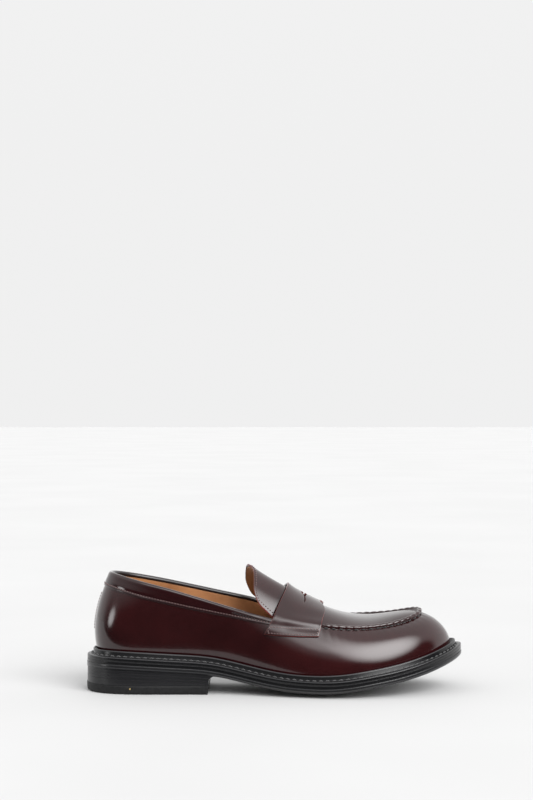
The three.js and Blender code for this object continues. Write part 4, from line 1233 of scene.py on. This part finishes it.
def slot_backing():
    """Raw leather glued under the slot, in front of the tongue, that shows dark through it."""
    rows = len(STRAP_UNDERSIDE)
    run = run_along(STRAP_UNDERSIDE[rows // 2])
    across = np.flatnonzero(np.abs(run - run[-1] / 2) < SLOT_LENGTH / 2 + 2)
    along = slice(int(BACKING[0] * rows), int(BACKING[1] * rows))
    bed, up = (grid[along][:, across] for grid in (STRAP_UNDERSIDE, STRAP_UP))
    make("slot_backing", shell(bed - up * 0.08, bed - up * 0.45, bulge=0.1)[:2], RAW)


slot_backing()


def strap_box(name, mirrored, cad_node):
    """The sewn box that holds an end of the strap."""
    low, rear, front = 1.3, 0.035, 0.965
    corners = np.array([[rear, low], [front, low], [front, BOX_HEIGHT], [rear, BOX_HEIGHT]])
    lengths = np.linalg.norm(np.diff(STRAP_UNDERSIDE, axis=1), axis=-1).sum(axis=1)
    rows = []
    for a, b in zip(corners, np.roll(corners, -1, axis=0)):
        t, from_end = lerp(a[:, None], b[:, None], np.linspace(0, 1, 60))
        u = from_end / np.interp(t, np.linspace(0, 1, len(lengths)), lengths)
        u = 1 - u if mirrored else u
        up = unit(on_grid(STRAP_UP, t, u))
        rows.append((on_grid(STRAP_UNDERSIDE, t, u) + up * STRAP_LEATHER, up))
    sew(name, rows, "fine", cad_node)


strap_box("strap_stitches_outer", False, "strap_thread_outer")
strap_box("strap_stitches_inner", True, "strap_thread_inner")


# ---- studio
CAMERA = {"x": -0.0066, "y": -1.45, "z": 0.2306, "lens": 81.6}
PAPER_TONE = (0.63, 0.63, 0.63), (0.65, 0.65, 0.65)
PAPER = 0.87  # brightness of the paper behind the shoe
CEILING = 0.92
DARK = 0.03
FLOOR_REACH = 14
SHEET_EDGE = -0.076  # in front of this line the paper isn't mirrored in the leather
# Soft lamps: the way to each, where it starts to fade and where it ends (degrees), radiance.
# The last one takes light away: a dark flag beside the toe.
LAMPS = [
    ((0.48, -0.64, 0.5), 2, 34, 6.5), ((-0.9, -0.42, 0.06), 2, 10, 5),
    ((-0.12, -0.8, 0.6), 3, 17, 1.6), ((0.93, -0.35, -0.03), 8, 32, -0.7),
]


def camera():
    data = bpy.data.cameras.new("camera")
    data.lens = CAMERA["lens"]
    data.sensor_width = 36
    data.clip_end = 100
    obj = add("camera", data)
    obj.location = CAMERA["x"], CAMERA["y"], CAMERA["z"]
    obj.rotation_euler = math.radians(90), 0, 0
    bpy.context.scene.camera = obj


def floor():
    """Pale seamless paper."""
    material, tree, shader = blank("paper", Specular_IOR_Level=0.15, Roughness=0.7)
    tone = ramp(tree, noise(tree, stretched(tree), 3, 2), *PAPER_TONE)
    tree.links.new(tone, shader.inputs["Base Color"])
    reach = FLOOR_REACH
    for name, low, high in (("floor", SHEET_EDGE, reach), ("floor_front", -reach, SHEET_EDGE)):
        mesh = bpy.data.meshes.new(name)
        corners = [(-reach, low, 0), (reach, low, 0), (reach, high, 0), (-reach, high, 0)]
        mesh.from_pydata(corners, [], [(0, 1, 2, 3)])
        mesh.materials.append(material)
        obj = add(name, mesh)
        obj.location.z = cad_bounds[0][2]
        obj.visible_glossy = low == SHEET_EDGE


def room():
    """A white room, dark behind the camera and below the horizon, with its soft lamps."""
    world = bpy.data.worlds.new("studio")
    world.use_nodes = True
    tree = world.node_tree
    where = node(tree, "ShaderNodeTexCoord").outputs["Generated"]
    axes = node(tree, "ShaderNodeSeparateXYZ", {"Vector": where}).outputs
    walls = ranged(tree, axes["Y"], DARK, PAPER, -0.3, 0.25, "SMOOTHSTEP")
    walls = reckoned(tree, "MULTIPLY", walls, ranged(tree, axes["Z"], DARK, 1, -0.08, -0.04))
    above = ranged(tree, axes["Z"], 0, 1, 0.08, 0.55, "SMOOTHSTEP")
    light = node(tree, "ShaderNodeMix", {0: above, 2: walls, 3: CEILING}, data_type="FLOAT")
    total = light.outputs[0]
    for toward, inner, outer, radiance in LAMPS:
        aim = node(tree, "ShaderNodeVectorMath", {
            0: where, 1: Vector(toward).normalized()}, operation="DOT_PRODUCT").outputs["Value"]
        ends = math.cos(math.radians(outer)), math.cos(math.radians(inner))
        glow = ranged(tree, aim, 0, radiance, *ends, "SMOOTHSTEP")
        total = reckoned(tree, "ADD", total, glow)
    background = tree.nodes["Background"]
    tree.links.new(reckoned(tree, "MAXIMUM", total, DARK), background.inputs["Strength"])
    background.inputs["Color"].default_value = (1, 1, 1, 1)
    bpy.context.scene.world = world


camera()
floor()
room()

bpy.context.scene.view_settings.view_transform = "Standard"
